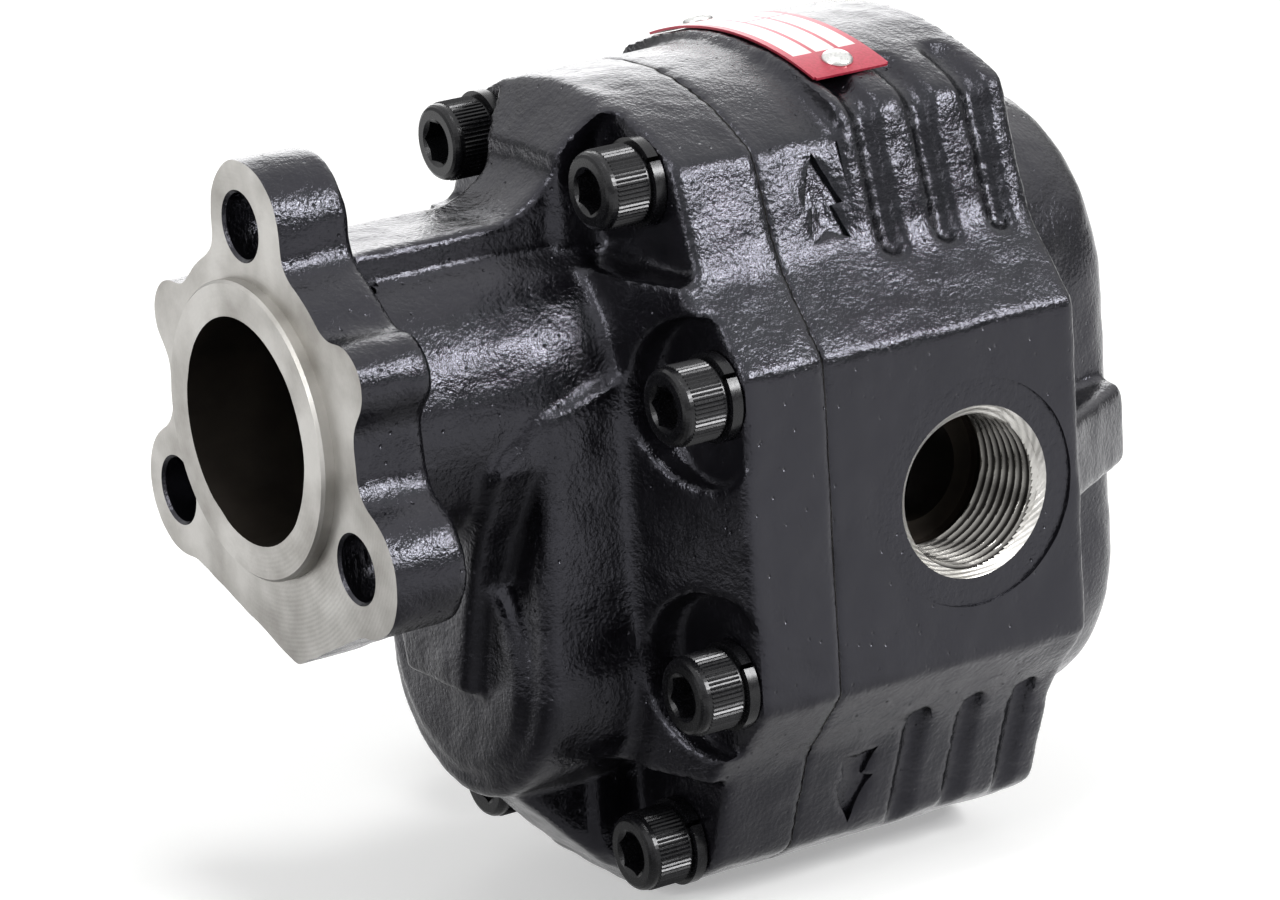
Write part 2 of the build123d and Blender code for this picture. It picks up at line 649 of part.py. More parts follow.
def rear_housing():
    """Domed end around the rear bushes, with a cross rib between the two port faces."""
    housing = prism_back(
        racetrack(REAR_BOSS_RADIUS), BODY_REAR_Y - 4, REAR_END_Y, REAR_BOSS_TAPER
    )
    end = [e for e in housing.edges() if e.bounding_box().min.Y > REAR_END_Y - 0.1]
    housing = fillet(end, REAR_BOSS_EDGE_RADIUS)
    rib = make_face(
        Polyline(
            (-PORT_FACE_X + 2, BODY_REAR_Y - 3),
            (-PORT_FACE_X + 2, BODY_REAR_Y),
            (-RIB_TOP_HALF_WIDTH, BODY_REAR_Y + RIB_LENGTH),
            (RIB_TOP_HALF_WIDTH, BODY_REAR_Y + RIB_LENGTH),
            (PORT_FACE_X - 2, BODY_REAR_Y),
            (PORT_FACE_X - 2, BODY_REAR_Y - 3),
            close=True,
        )
    )
    rib = Pos(0, 0, MIDDLE_Z - RIB_HALF_HEIGHT) * extrude(rib, amount=2 * RIB_HALF_HEIGHT)
    rib_edges = [e for e in rib.edges() if e.bounding_box().max.Y > BODY_REAR_Y + 1]
    return housing + fillet(rib_edges, RIB_EDGE_RADIUS)


def port_cutter(side):
    """Spotface, thread bore with its chamfer, and the passage into the gear chamber."""
    face = Plane(
        origin=(side * PORT_FACE_X, PORT_Y, MIDDLE_Z), x_dir=(0, 1, 0), z_dir=(side, 0, 0)
    )
    seat = Plane(face.origin - face.z_dir * PORT_SPOTFACE_DEPTH, face.x_dir, face.z_dir)
    rim = (PORT_CHAMFER - PORT_MINOR) / 2
    cutter = extrude(seat * Circle(PORT_SPOTFACE / 2), amount=PORT_SPOTFACE_DEPTH + 1)
    cutter += extrude(seat * Circle(PORT_CHAMFER / 2), amount=-rim, taper=45)
    cutter += extrude(seat * Circle(PORT_MINOR / 2), amount=-PORT_THREAD_DEPTH)
    cutter += extrude(seat * Circle(PORT_PASSAGE / 2), amount=-PORT_FACE_X)
    return cutter


def pump_body():
    """Body with both ports, closed behind the gear chamber by its rear housing."""
    body = prism(body_outline(BODY_HALF_HEIGHT, CROWN_RADIUS), COVER_FACE_Y, BODY_CROWN_START_Y)
    body += prism(rear_outline(), BODY_CROWN_START_Y, BODY_REAR_Y)
    rear = [e for e in body.edges() if e.bounding_box().min.Y > BODY_REAR_Y - 0.1]
    body = fillet(rear, REAR_EDGE_RADIUS)
    body -= facet_cuts()
    body += rear_housing()
    body -= prism(figure_eight(CASE_BORE_RADIUS), COVER_FACE_Y - 1, CHAMBER_END_Y)
    body -= rod(BUSH_OUTER_RADIUS, CHAMBER_END_Y - 1, BUSH_REAR_Y)
    body -= rod(BUSH_OUTER_RADIUS, CHAMBER_END_Y - 1, BUSH_REAR_Y, DRIVEN_AXIS)
    for side in (1, -1):
        body -= port_cutter(side)
    body -= screw_holes(SCREW_DIAMETER, COVER_FACE_Y - 1, SCREW_END_Y + TAPPED_DEPTH_SPARE)
    body -= dowel_holes(COVER_FACE_Y, 1)
    return body - rivets(RIVET_SHANK / 2, 0)


# ---- Gears and shafts -----------------------------------------------------------------------------

def tooth_flank(side, base, pitch_half):
    """Involute from the base circle to the tip circle, on one side of a tooth centred on +X."""
    steps = 7
    points = []
    base_roll = pitch_half + tan(radians(PRESSURE_ANGLE)) - radians(PRESSURE_ANGLE)
    for step in range(steps):
        radius = base + (GEAR_OUTER_RADIUS - base) * step / (steps - 1)
        roll = sqrt(max(radius**2 / base**2 - 1, 0))
        angle = base_roll - (roll - atan2(roll, 1))
        points.append((radius * cos(angle), side * radius * sin(angle)))
    return points


def gear_section(phase):
    """Spur gear section with involute flanks and radial roots, one tooth at the phase angle."""
    pitch_radius = MODULE * TEETH / 2
    base = pitch_radius * cos(radians(PRESSURE_ANGLE))
    root = pitch_radius - DEDENDUM * MODULE
    tooth = 2 * pi * pitch_radius / TEETH / 2 - BACKLASH
    pitch_half = tooth / 2 / pitch_radius
    upper = tooth_flank(1, base, pitch_half)
    lower = tooth_flank(-1, base, pitch_half)
    root_half = atan2(upper[0][1], upper[0][0])
    inner = (root - 1) * cos(root_half), (root - 1) * sin(root_half)
    outline = Spline(*upper)
    outline += ThreePointArc(upper[-1], (GEAR_OUTER_RADIUS, 0), lower[-1])
    outline += Spline(*lower)
    outline += Polyline(lower[0], (inner[0], -inner[1]), inner, upper[0])
    tooth_face = make_face(outline)
    section = Circle(root)
    for index in range(TEETH):
        section += Rot(0, 0, phase + index * 360 / TEETH) * tooth_face
    return section


def drive_gear():
    """Gear in one piece with its journals and the splined input end."""
    gear = prism(gear_section(90 + 180 / TEETH), GEAR_FRONT_Y, GEAR_REAR_Y)
    gear += rod(JOURNAL_RADIUS, SPLINE_END_Y, BUSH_REAR_Y - 1)
    splines = Circle(SPLINE_MINOR / 2)
    keys = Rectangle(SPLINE_MAJOR, SPLINE_KEY_WIDTH) & Circle(SPLINE_MAJOR / 2)
    for index in range(SPLINE_KEYS // 2):
        splines += Rot(0, 0, index * 360 / SPLINE_KEYS) * keys
    return gear + prism(splines, SHAFT_END_Y, SPLINE_END_Y + 1)


def driven_gear():
    """Idler gear with its two journals."""
    gear = Pos(0, 0, -CENTRE_DISTANCE) * prism(gear_section(90), GEAR_FRONT_Y, GEAR_REAR_Y)
    return gear + rod(JOURNAL_RADIUS, BUSH_FRONT_Y + 1, BUSH_REAR_Y - 1, DRIVEN_AXIS)


# ---- Bushes, wear plates and seals ------------------------------------------------------------------

def bush(y_start, y_end, axis):
    """Plain lined bush of a gear journal."""
    return rod(BUSH_OUTER_RADIUS, y_start, y_end, axis) - rod(
        BUSH_INNER_RADIUS, y_start - 1, y_end + 1, axis
    )


def plate_seal_outline(width, inset):
    """Closed figure-eight ring inside the rim of a wear plate."""
    outer = CASE_BORE_RADIUS - PLATE_EDGE_CLEARANCE - inset
    return figure_eight(outer) - figure_eight(outer - width)


def wear_plate(y_start, back_y, sign):
    """Figure-eight plate with its seal groove in the back face."""
    rim = CASE_BORE_RADIUS - PLATE_EDGE_CLEARANCE
    y_end = y_start + PLATE_THICKNESS
    plate = prism(figure_eight(rim), y_start, y_end)
    for axis in AXES:
        journal = JOURNAL_RADIUS + PLATE_JOURNAL_CLEARANCE
        plate -= rod(journal, y_start - 1, y_end + 1, axis)
    groove = plate_seal_outline(PLATE_SEAL_WIDTH + BACKUP_WIDTH, PLATE_SEAL_INSET)
    low, high = sorted((back_y, back_y + sign * PLATE_SEAL_DEPTH))
    return plate - prism(groove, low, high)


def plate_seal(y_face, sign):
    low, high = sorted((y_face, y_face + sign * PLATE_SEAL_DEPTH))
    return prism(plate_seal_outline(PLATE_SEAL_WIDTH, PLATE_SEAL_INSET), low, high)


def plate_backup(y_face, sign):
    low, high = sorted((y_face, y_face + sign * PLATE_SEAL_DEPTH))
    inset = PLATE_SEAL_INSET + PLATE_SEAL_WIDTH
    return prism(plate_seal_outline(BACKUP_WIDTH, inset), low, high)


def shaft_seal(y_start):
    """Lip seal: steel-backed ring with a sealing lip that leans towards the gears."""
    lip = JOURNAL_RADIUS + SHAFT_SEAL_LIP
    outer = SEAL_BORE / 2
    end = y_start + SHAFT_SEAL_WIDTH
    section = make_face(
        Polyline(
            (outer, y_start),
            (outer, end),
            (outer - 1.5, end),
            (outer - 1.5, y_start + 1.8),
            (lip + 2.6, y_start + 1.8),
            (lip + 2.4, end - 1.2),
            (lip + 0.6, end - 1.2),
            (lip, end - 2.2),
            (lip + 0.8, y_start + 1.2),
            (lip + 1.2, y_start),
            close=True,
        )
    )
    return revolve(section, Axis.Y, 360)


def garter_spring(y_start):
    """Closed coil spring that holds the seal lip, drawn as its ring."""
    lip = JOURNAL_RADIUS + SHAFT_SEAL_LIP
    ring = Pos(lip + 2.65 + 0.75, y_start + SHAFT_SEAL_WIDTH - 2.2) * Circle(0.75)
    return revolve(ring, Axis.Y, 360)


def circlip():
    """Internal retaining ring with two lugs, open at the bottom."""
    ring = disc(CIRCLIP_GROOVE / 2) - disc(CIRCLIP_GROOVE / 2 - CIRCLIP_RADIAL)
    ring -= Pos(0, -CIRCLIP_GROOVE / 2) * Rectangle(9, CIRCLIP_GROOVE / 2)
    lug = Pos(0, -(CIRCLIP_GROOVE / 2 - CIRCLIP_RADIAL)) * Circle(2.6)
    for angle in (-16, 16):
        ring += Rot(0, 0, angle) * lug
    ring &= disc(CIRCLIP_GROOVE / 2)
    for angle in (-16, 16):
        ring -= Rot(0, 0, angle) * Pos(0, -(CIRCLIP_GROOVE / 2 - CIRCLIP_RADIAL)) * Circle(1.2)
    return prism(ring, CIRCLIP_Y, CIRCLIP_Y + CIRCLIP_WIDTH)


# ---- Fasteners --------------------------------------------------------------------------------------

def cap_screw(place):
    front = HEAD_SEAT_Y - SCREW_HEAD_HEIGHT
    head = rod(SCREW_HEAD_DIAMETER / 2, front, HEAD_SEAT_Y, place)
    rim = [e for e in head.edges() if e.bounding_box().max.Y < front + 0.1]
    head = chamfer(rim, 0.9)
    hexagon = Pos(*place) * RegularPolygon(SCREW_HEX / 2, 6, major_radius=False)
    head -= prism(hexagon, front - 1, front + SCREW_HEX_DEPTH)
    return head + rod(SCREW_DIAMETER / 2, HEAD_SEAT_Y, SCREW_END_Y, place)


def spring_washer(place):
    """Split lock washer under a screw head."""
    ring = disc(WASHER_DIAMETER / 2, place) - disc(SCREW_DIAMETER / 2 + 0.2, place)
    gap = Pos(*place) * Rot(0, 0, 40) * Pos(WASHER_DIAMETER / 2, 0)
    ring -= gap * Rectangle(WASHER_DIAMETER, 1.0)
    return prism(ring, HEAD_SEAT_Y, POCKET_FLOOR_Y)


def dowel(y_joint, place):
    pin = rod(DOWEL_DIAMETER / 2, y_joint - DOWEL_LENGTH / 2, y_joint + DOWEL_LENGTH / 2, place)
    return chamfer(pin.edges().filter_by(GeomType.CIRCLE), 0.5)


# ---- Drain check valves -------------------------------------------------------------------------------

# ---- Nameplate ----------------------------------------------------------------------------------------

def crown_z(x, lift=0.0):
    """Height of the body's arched top, or of a surface that lies a little above it."""
    radius = BODY_CROWN_RADIUS + lift
    return MIDDLE_Z + BODY_CROWN_HALF_HEIGHT - BODY_CROWN_RADIUS + sqrt(radius**2 - x**2)


def nameplate():
    """Thin plate bent over the arched top of the body."""
    half = PLATE_SIZE_X / 2
    lift = NAMEPLATE_THICKNESS
    band = make_face(
        ThreePointArc((-half, crown_z(half)), (0, crown_z(0)), (half, crown_z(half)))
        + Line((half, crown_z(half)), (half, crown_z(half, lift)))
        + ThreePointArc(
            (half, crown_z(half, lift)), (0, crown_z(0, lift)), (-half, crown_z(half, lift))
        )
        + Line((-half, crown_z(half, lift)), (-half, crown_z(half)))
    )
    plate = prism(band, BODY_MIDDLE_Y - PLATE_SIZE_Y / 2, BODY_MIDDLE_Y + PLATE_SIZE_Y / 2)
    return plate - rivets(RIVET_SHANK / 2, 0)


def rivets(shank_radius, head_radius):
    """Two drive rivets square to the arched top."""
    pair = None
    for side in (1, -1):
        lean = degrees(asin_of(side * RIVET_SPACING / 2 / BODY_CROWN_RADIUS))
        foot = (side * RIVET_SPACING / 2, BODY_MIDDLE_Y, crown_z(RIVET_SPACING / 2))
        seat = Pos(*foot) * Rot(0, lean, 0)
        rivet = seat * Pos(0, 0, -2) * Cylinder(shank_radius, 6)
        if head_radius:
            cap = Sphere(head_radius) & Pos(0, 0, head_radius / 2) * Box(9, 9, head_radius)
            rivet = seat * Pos(0, 0, -2) * Cylinder(
                shank_radius, 4 + 2 * NAMEPLATE_THICKNESS
            )
            rivet += seat * Pos(0, 0, NAMEPLATE_THICKNESS) * scale(cap, (1, 1, 0.5))
        pair = rivet if pair is None else pair + rivet
    return pair


def asin_of(ratio):
    return atan2(ratio, sqrt(1 - ratio**2))


# ---- All pieces -----------------------------------------------------------------------------------------

def build_all():
    front_plate_face = COVER_FACE_Y
    rear_plate_face = CHAMBER_END_Y
    return {
        "front_cover": front_cover(),
        "pump_body": pump_body(),
        "drive_gear": drive_gear(),
        "driven_gear": driven_gear(),
        "front_drive_bush": bush(BUSH_FRONT_Y, COVER_FACE_Y, DRIVE_AXIS),
        "front_driven_bush": bush(BUSH_FRONT_Y, COVER_FACE_Y, DRIVEN_AXIS),
        "rear_drive_bush": bush(CHAMBER_END_Y, BUSH_REAR_Y, DRIVE_AXIS),
        "rear_driven_bush": bush(CHAMBER_END_Y, BUSH_REAR_Y, DRIVEN_AXIS),
        "front_wear_plate": wear_plate(COVER_FACE_Y, front_plate_face, 1),
        "rear_wear_plate": wear_plate(CHAMBER_END_Y - PLATE_THICKNESS, rear_plate_face, -1),
        "front_plate_seal": plate_seal(front_plate_face, 1),
        "rear_plate_seal": plate_seal(rear_plate_face, -1),
        "front_plate_backup": plate_backup(front_plate_face, 1),
        "rear_plate_backup": plate_backup(rear_plate_face, -1),
        "case_seal": case_seal(COVER_FACE_Y - CASE_SEAL_DEPTH, COVER_FACE_Y),
        "outer_shaft_seal": shaft_seal(OUTER_SEAL_Y),
        "inner_shaft_seal": shaft_seal(INNER_SEAL_Y),
        "outer_seal_spring": garter_spring(OUTER_SEAL_Y),
        "inner_seal_spring": garter_spring(INNER_SEAL_Y),
        "seal_spacer": rod(SEAL_BORE / 2, SPACER_Y, SEAL_BORE_DEPTH)
        - rod(JOURNAL_RADIUS + 2.5, SPACER_Y - 1, SEAL_BORE_DEPTH + 1),
        "seal_circlip": circlip(),
        "cap_screws": Compound(children=[cap_screw(p) for p in screw_places()]),
        "spring_washers": Compound(children=[spring_washer(p) for p in screw_places()]),
        "dowels": Compound(children=[dowel(COVER_FACE_Y, p) for p in dowel_places()]),
        "nameplate": nameplate(),
        "nameplate_rivets": rivets(RIVET_SHANK / 2, RIVET_HEAD / 2),
    }


os.makedirs("parts", exist_ok=True)
for node, solid in build_all().items():
    export_step(solid, f"parts/{node}.step")
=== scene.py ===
import json
from math import atan2, cos, pi, radians, sin, sqrt

import bmesh
import bpy
from mathutils import Matrix, Vector


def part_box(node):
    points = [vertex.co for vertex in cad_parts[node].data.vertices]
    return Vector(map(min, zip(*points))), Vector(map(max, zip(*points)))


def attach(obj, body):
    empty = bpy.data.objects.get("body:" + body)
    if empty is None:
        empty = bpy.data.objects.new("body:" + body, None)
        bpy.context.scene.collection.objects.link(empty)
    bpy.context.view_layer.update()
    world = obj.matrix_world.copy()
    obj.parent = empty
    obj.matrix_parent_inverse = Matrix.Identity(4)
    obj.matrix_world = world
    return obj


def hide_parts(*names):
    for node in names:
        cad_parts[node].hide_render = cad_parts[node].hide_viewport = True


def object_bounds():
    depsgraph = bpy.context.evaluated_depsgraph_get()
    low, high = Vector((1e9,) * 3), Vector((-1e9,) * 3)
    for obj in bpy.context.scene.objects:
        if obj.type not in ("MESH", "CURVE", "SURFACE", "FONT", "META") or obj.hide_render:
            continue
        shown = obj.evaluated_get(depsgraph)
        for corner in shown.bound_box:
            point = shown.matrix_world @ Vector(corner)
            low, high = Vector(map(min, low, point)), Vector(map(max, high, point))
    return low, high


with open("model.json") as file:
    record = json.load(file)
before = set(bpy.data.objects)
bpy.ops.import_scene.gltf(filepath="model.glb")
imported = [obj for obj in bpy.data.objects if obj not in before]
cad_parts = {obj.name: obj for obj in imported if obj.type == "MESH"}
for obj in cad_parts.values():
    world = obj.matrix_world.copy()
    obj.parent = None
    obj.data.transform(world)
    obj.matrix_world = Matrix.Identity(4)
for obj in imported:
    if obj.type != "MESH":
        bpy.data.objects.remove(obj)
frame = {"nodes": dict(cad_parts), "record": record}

cad_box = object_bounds()


# ---- Room ---------------------------------------------------------------------------------
# A floor of matt painted board in a white light tent. The board keeps the pump's soft shadow.
# In the gloss of the enamel it is white, apart from the pump's own near shade, and the tent
# is bright overhead and dimmer near the floor.

BOARD_GLOW = 0.34           # lifts the board to white in plain view
SHADE_MIDDLE = (0.04, -0.08, 0.0)
SHADE_START = 0.08          # distance from that middle at which the shade starts to fade
SHADE_END = 0.34
SHADE_DARK = 0.03
SHADE_LIGHT = 1.3
TENT_MATT = 0.30            # the tent's light on matt surfaces
TENT_LOW = 0.05             # sine of the height at which the tent starts to brighten
TENT_HIGH = 0.55
TENT_FOOT = 0.30
TENT_ROOF = 1.35
FLOOR_GAP = 0.0003
FLOOR_SIZE = 4.0


def linear(hex_colour):
    """Linear RGBA of an sRGB hex colour."""
    parts = [int(hex_colour[i:i + 2], 16) / 255 for i in (1, 3, 5)]
    return [p / 12.92 if p <= 0.04045 else ((p + 0.055) / 1.055) ** 2.4 for p in parts] + [1.0]


def add_node(tree, kind, settings=None, inputs=None):
    """Adds a node with its settings; an input is a value or another node's output."""
    node = tree.nodes.new(kind)
    for name, value in (settings or {}).items():
        setattr(node, name, value)
    for name, value in (inputs or {}).items():
        if isinstance(value, bpy.types.NodeSocket):
            tree.links.new(value, node.inputs[name])
        else:
            node.inputs[name].default_value = value
    return node


def either(tree, first, second):
    """Full where one of two values is full."""
    return add_node(tree, "ShaderNodeMath", {"operation": "MAXIMUM"},
                    {0: first, 1: second}).outputs[0]


def spread(tree, value, low, high, start=0.0, end=1.0, easing="LINEAR"):
    """Carries a value from between start and end to between low and high."""
    return add_node(tree, "ShaderNodeMapRange", {"interpolation_type": easing},
                    {"Value": value, "From Min": start, "From Max": end,
                     "To Min": low, "To Max": high}).outputs["Result"]


def distance(tree, place, middle):
    """Distance of a place from a middle."""
    return add_node(tree, "ShaderNodeVectorMath", {"operation": "DISTANCE"},
                    {0: place, 1: middle}).outputs["Value"]


def white_light(tree, kind, strength):
    """White light from the board or from the tent."""
    return add_node(tree, kind, None,
                    {"Color": linear("#FFFFFF"), "Strength": strength}).outputs[0]


def mixed(tree, share, first, second):
    """The second shader by its share, and the first by the rest."""
    return add_node(tree, "ShaderNodeMixShader", None,
                    {0: share, 1: first, 2: second}).outputs[0]


def place_mesh(name, mesh):
    """Object at the origin for a finished mesh."""
    piece = bpy.data.objects.new(name, mesh)
    bpy.context.scene.collection.objects.link(piece)
    return piece


def place_form(name, form):
    """Object at the origin for a finished form."""
    mesh = bpy.data.meshes.new(name)
    form.to_mesh(mesh)
    form.free()
    return place_mesh(name, mesh)


board = bpy.data.materials.new("painted_board")
board.use_nodes = True
tree = board.node_tree
tree.nodes.clear()
rays = add_node(tree, "ShaderNodeLightPath").outputs
matt = add_node(tree, "ShaderNodeBsdfDiffuse", None, {"Color": linear("#F4F4F3")}).outputs[0]
glow = white_light(tree, "ShaderNodeEmission", BOARD_GLOW)
lifted = add_node(tree, "ShaderNodeAddShader", None, {0: matt, 1: glow}).outputs[0]
spot = add_node(tree, "ShaderNodeTexCoord").outputs["Object"]
shade = spread(tree, distance(tree, spot, SHADE_MIDDLE), SHADE_DARK, SHADE_LIGHT,
               SHADE_START, SHADE_END, "SMOOTHSTEP")
seen = either(tree, rays["Is Camera Ray"], rays["Is Transmission Ray"])
plain = mixed(tree, seen, matt, lifted)
whole = mixed(tree, rays["Is Glossy Ray"], plain, white_light(tree, "ShaderNodeEmission", shade))
add_node(tree, "ShaderNodeOutputMaterial", None, {"Surface": whole})

low, high = [Vector(corner) for corner in cad_box]
form = bmesh.new()
bmesh.ops.create_grid(form, x_segments=2, y_segments=2, size=FLOOR_SIZE)
bmesh.ops.translate(form, verts=form.verts, vec=(0, 0, low.z - FLOOR_GAP))
studio_floor = place_form("studio_floor", form)
studio_floor.data.materials.append(board)

world = bpy.data.worlds.new("studio")
world.use_nodes = True
tree = world.node_tree
tree.nodes.clear()
rays = add_node(tree, "ShaderNodeLightPath").outputs
seen = either(tree, rays["Is Camera Ray"], rays["Is Glossy Ray"])
seen = either(tree, seen, rays["Is Transmission Ray"])
plain = mixed(tree, seen, white_light(tree, "ShaderNodeBackground", TENT_MATT),
              white_light(tree, "ShaderNodeBackground", 1.0))
gaze = add_node(tree, "ShaderNodeTexCoord").outputs["Generated"]
height = add_node(tree, "ShaderNodeSeparateXYZ", None, {"Vector": gaze}).outputs["Z"]
shade = spread(tree, height, TENT_FOOT, TENT_ROOF, TENT_LOW, TENT_HIGH, "SMOOTHSTEP")
whole = mixed(tree, rays["Is Glossy Ray"], plain,
              white_light(tree, "ShaderNodeBackground", shade))
add_node(tree, "ShaderNodeOutputWorld", None, {"Surface": whole})
bpy.context.scene.world = world


# ---- Camera and lamps ---------------------------------------------------------------------
# A long lens looks down a little at the flange and the +X side. Four broad soft lamps: the
# main one high beyond the +X side, a fill in front of the flange, one overhead and a wide
# panel behind.

CAMERA_LENS = 161.70
CAMERA_PLACE = (0.93244, -0.49684, 0.30780)
CAMERA_RIGHT = Vector((0.54440, 0.83660, -0.06108)).normalized()
CAMERA_GAZE = Vector((-0.81215, 0.50748, -0.28787)).normalized()

camera_data = bpy.data.cameras.new("camera")
camera_data.sensor_width = 36.0
camera_data.lens = CAMERA_LENS
camera_data.clip_end = 20.0
camera = bpy.data.objects.new("camera", camera_data)
camera_up = CAMERA_RIGHT.cross(CAMERA_GAZE).normalized()
turn = Matrix((CAMERA_RIGHT, camera_up, -CAMERA_GAZE)).transposed().to_4x4()
camera.matrix_world = Matrix.Translation(CAMERA_PLACE) @ turn
bpy.context.scene.collection.objects.link(camera)
bpy.context.scene.camera = camera
bpy.context.scene.view_settings.view_transform = "Standard"


def soft_lamp(name, place, aim, size, power):
    """Square soft box at a place, turned towards the aim."""
    data = bpy.data.lights.new(name, "AREA")
    data.shape = "SQUARE"
    data.size = size
    data.energy = power
    lamp = bpy.data.objects.new(name, data)
    gaze = (Vector(aim) - Vector(place)).to_track_quat("-Z", "Y")
    lamp.matrix_world = Matrix.Translation(place) @ gaze.to_matrix().to_4x4()
    bpy.context.scene.collection.objects.link(lamp)


middle = (low + high) / 2
soft_lamp("main_lamp", (1.04, 0.80, 0.69), middle, 0.38, 16.0)
soft_lamp("front_lamp", (0.20, -1.25, 0.50), middle, 0.50, 7.0)
soft_lamp("top_lamp", (0.30, -0.10, 1.30), middle, 0.30, 6.0)
soft_lamp("back_panel", (-1.30, 0.92, 0.44), middle, 0.95, 7.5)


# ---- Front cover --------------------------------------------------------------------------
# Grey iron, sand-cast with soft edges and brushed with gloss black enamel: flange, raised
# pilot ring, neck and the housing of the driven gear's front bush. It is milled on the flange
# and on the joint, bored for the shaft and its bushes, drilled for three mounting bolts and
# a drain, and held on the body by eight screws. Bored and milled faces stay bare.

SAND_GRAIN = 0.0010         # size of the sand's grains
SAND_DENT = 0.0036          # and of its shallow dents
ENAMEL_WAVE = 0.014         # brush waves in the enamel
PIN_HOLE = 0.0032           # spacing of the pin holes
HOLE_EDGE = 0.13            # a hole's radius, as a share of the spacing
WAVE_DEPTH = 0.0010
DENT_DEPTH = 0.00011
GRAIN_DEPTH = 0.00021
HOLE_DEPTH = 0.00022
PORT_FACE_SKIN = 0.0588     # beyond this distance from the middle the skin is smooth
PORT_FACE_FADE = 0.0004
PORT_FACE_SAND = 0.16       # share of the sand's relief that is left there
TURNING_PITCH = 0.0009      # tool marks, drawn about three times as coarse as they are
GRAPHITE = 0.0006           # size of the graphite's pits
STAIN = 0.016
CUT_DEPTH = 0.0001          # depth of tool marks and pits
ROOT_RADIUS = 0.0164        # from here outwards the pipe threads darken, painted shade towards the roots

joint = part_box("pump_body")[0].y
port_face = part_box("pump_body")[1].x
mounts = {m["name"]: m for m in frame["record"]["mounts"]}
port_place = Vector(mounts["port_right"]["pos_m"])
crest_radius = mounts["port_right"]["dims"]["r_mm"] / 1000
driven = Vector(frame["record"]["behaviour"]["joints"][1]["pos_m"])
along = Vector((0, 1, 0))


def new_material(name):
    """Empty material, its tree and the object's own coordinates."""
    material = bpy.data.materials.new(name)
    material.use_nodes = True
    tree = material.node_tree
    tree.nodes.clear()
    return material, tree, add_node(tree, "ShaderNodeTexCoord").outputs["Object"]


def coat(tree, colour, roughness, normal, metallic, mirror_tint="#FFFFFF"):
    """Gives a material its one shader."""
    shader = add_node(tree, "ShaderNodeBsdfPrincipled", None,
                      {"Base Color": colour, "Roughness": roughness, "Normal": normal,
                       "Metallic": metallic, "Specular Tint": linear(mirror_tint)})
    add_node(tree, "ShaderNodeOutputMaterial", None, {"Surface": shader.outputs[0]})


def noise(tree, place, size, detail, roughness=0.5):
    """Noise with spots of a real size."""
    return add_node(tree, "ShaderNodeTexNoise", None,
                    {"Vector": place, "Scale": 1 / size, "Detail": detail,
                     "Roughness": roughness}).outputs["Fac"]


def ramp(tree, share, first, second, start=0.0, end=1.0):
    """Colour that goes from the first to the second between two shares."""
    node = add_node(tree, "ShaderNodeValToRGB", None, {"Fac": share})
    for element, place, colour in zip(node.color_ramp.elements, (start, end), (first, second)):
        element.position = place
        element.color = linear(colour)
    return node.outputs["Color"]


def relief(tree, height, strength, depth, under=None):
    """Normal of a relief, laid over the one under it."""
    inputs = {"Height": height, "Strength": strength, "Distance": depth}
    if under:
        inputs["Normal"] = under
    return add_node(tree, "ShaderNodeBump", None, inputs).outputs["Normal"]


def from_line(tree, place, across, middle):
    """Distance from a line through a middle; across is 0 along the line."""
    flat = add_node(tree, "ShaderNodeVectorMath", {"operation": "MULTIPLY"},
                    {0: place, 1: across}).outputs[0]
    return distance(tree, flat, middle)


def enamelled_iron():
    """Black enamel over sand-cast iron, with dents, fine grain and pin holes."""
    material, tree, place = new_material("black_enamel_on_sand_cast_iron")
    wave = noise(tree, place, ENAMEL_WAVE, 2.0)
    dent = noise(tree, place, SAND_DENT, 4.0, 0.55)
    grain = noise(tree, place, SAND_GRAIN, 3.0, 0.6)
    cell = add_node(tree, "ShaderNodeTexVoronoi", {"feature": "F1"},
                    {"Vector": place, "Scale": 1 / PIN_HOLE}).outputs["Distance"]
    hole = spread(tree, cell, 0.0, 1.0, 0.0, HOLE_EDGE)
    side = add_node(tree, "ShaderNodeSeparateXYZ", None, {"Vector": place}).outputs["X"]
    side = add_node(tree, "ShaderNodeMath", {"operation": "ABSOLUTE"}, {0: side}).outputs[0]
    sand = spread(tree, side, 1.0, PORT_FACE_SAND, PORT_FACE_SKIN,
                  PORT_FACE_SKIN + PORT_FACE_FADE)
    normal = relief(tree, wave, 0.3, WAVE_DEPTH)
    normal = relief(tree, dent, sand, DENT_DEPTH, normal)
    normal = relief(tree, grain, sand, GRAIN_DEPTH, normal)
    normal = relief(tree, hole, 1.0, HOLE_DEPTH, normal)
    coat(tree, ramp(tree, wave, "#08080A", "#100F13"),
         spread(tree, dent, 0.10, 0.24, 0.3, 0.7), normal, 0.0, "#F0F0FF")
    return material


def stained(tree, place, dark, light):
    """Faint stains of bare iron."""
    return ramp(tree, noise(tree, place, STAIN, 5.0), dark, light, 0.32, 0.62)


def painted_thread_shade(tree, place, dark, light):
    """Painted highlight on the crests and painted shade in the roots of the pipe threads."""
    reach = from_line(tree, place, (0.0, 1.0, 1.0), (0.0, port_place.y, port_place.z))
    depth = spread(tree, reach, 0.0, 1.0, crest_radius, ROOT_RADIUS)
    return ramp(tree, depth, light, dark, 0.05, 0.55)


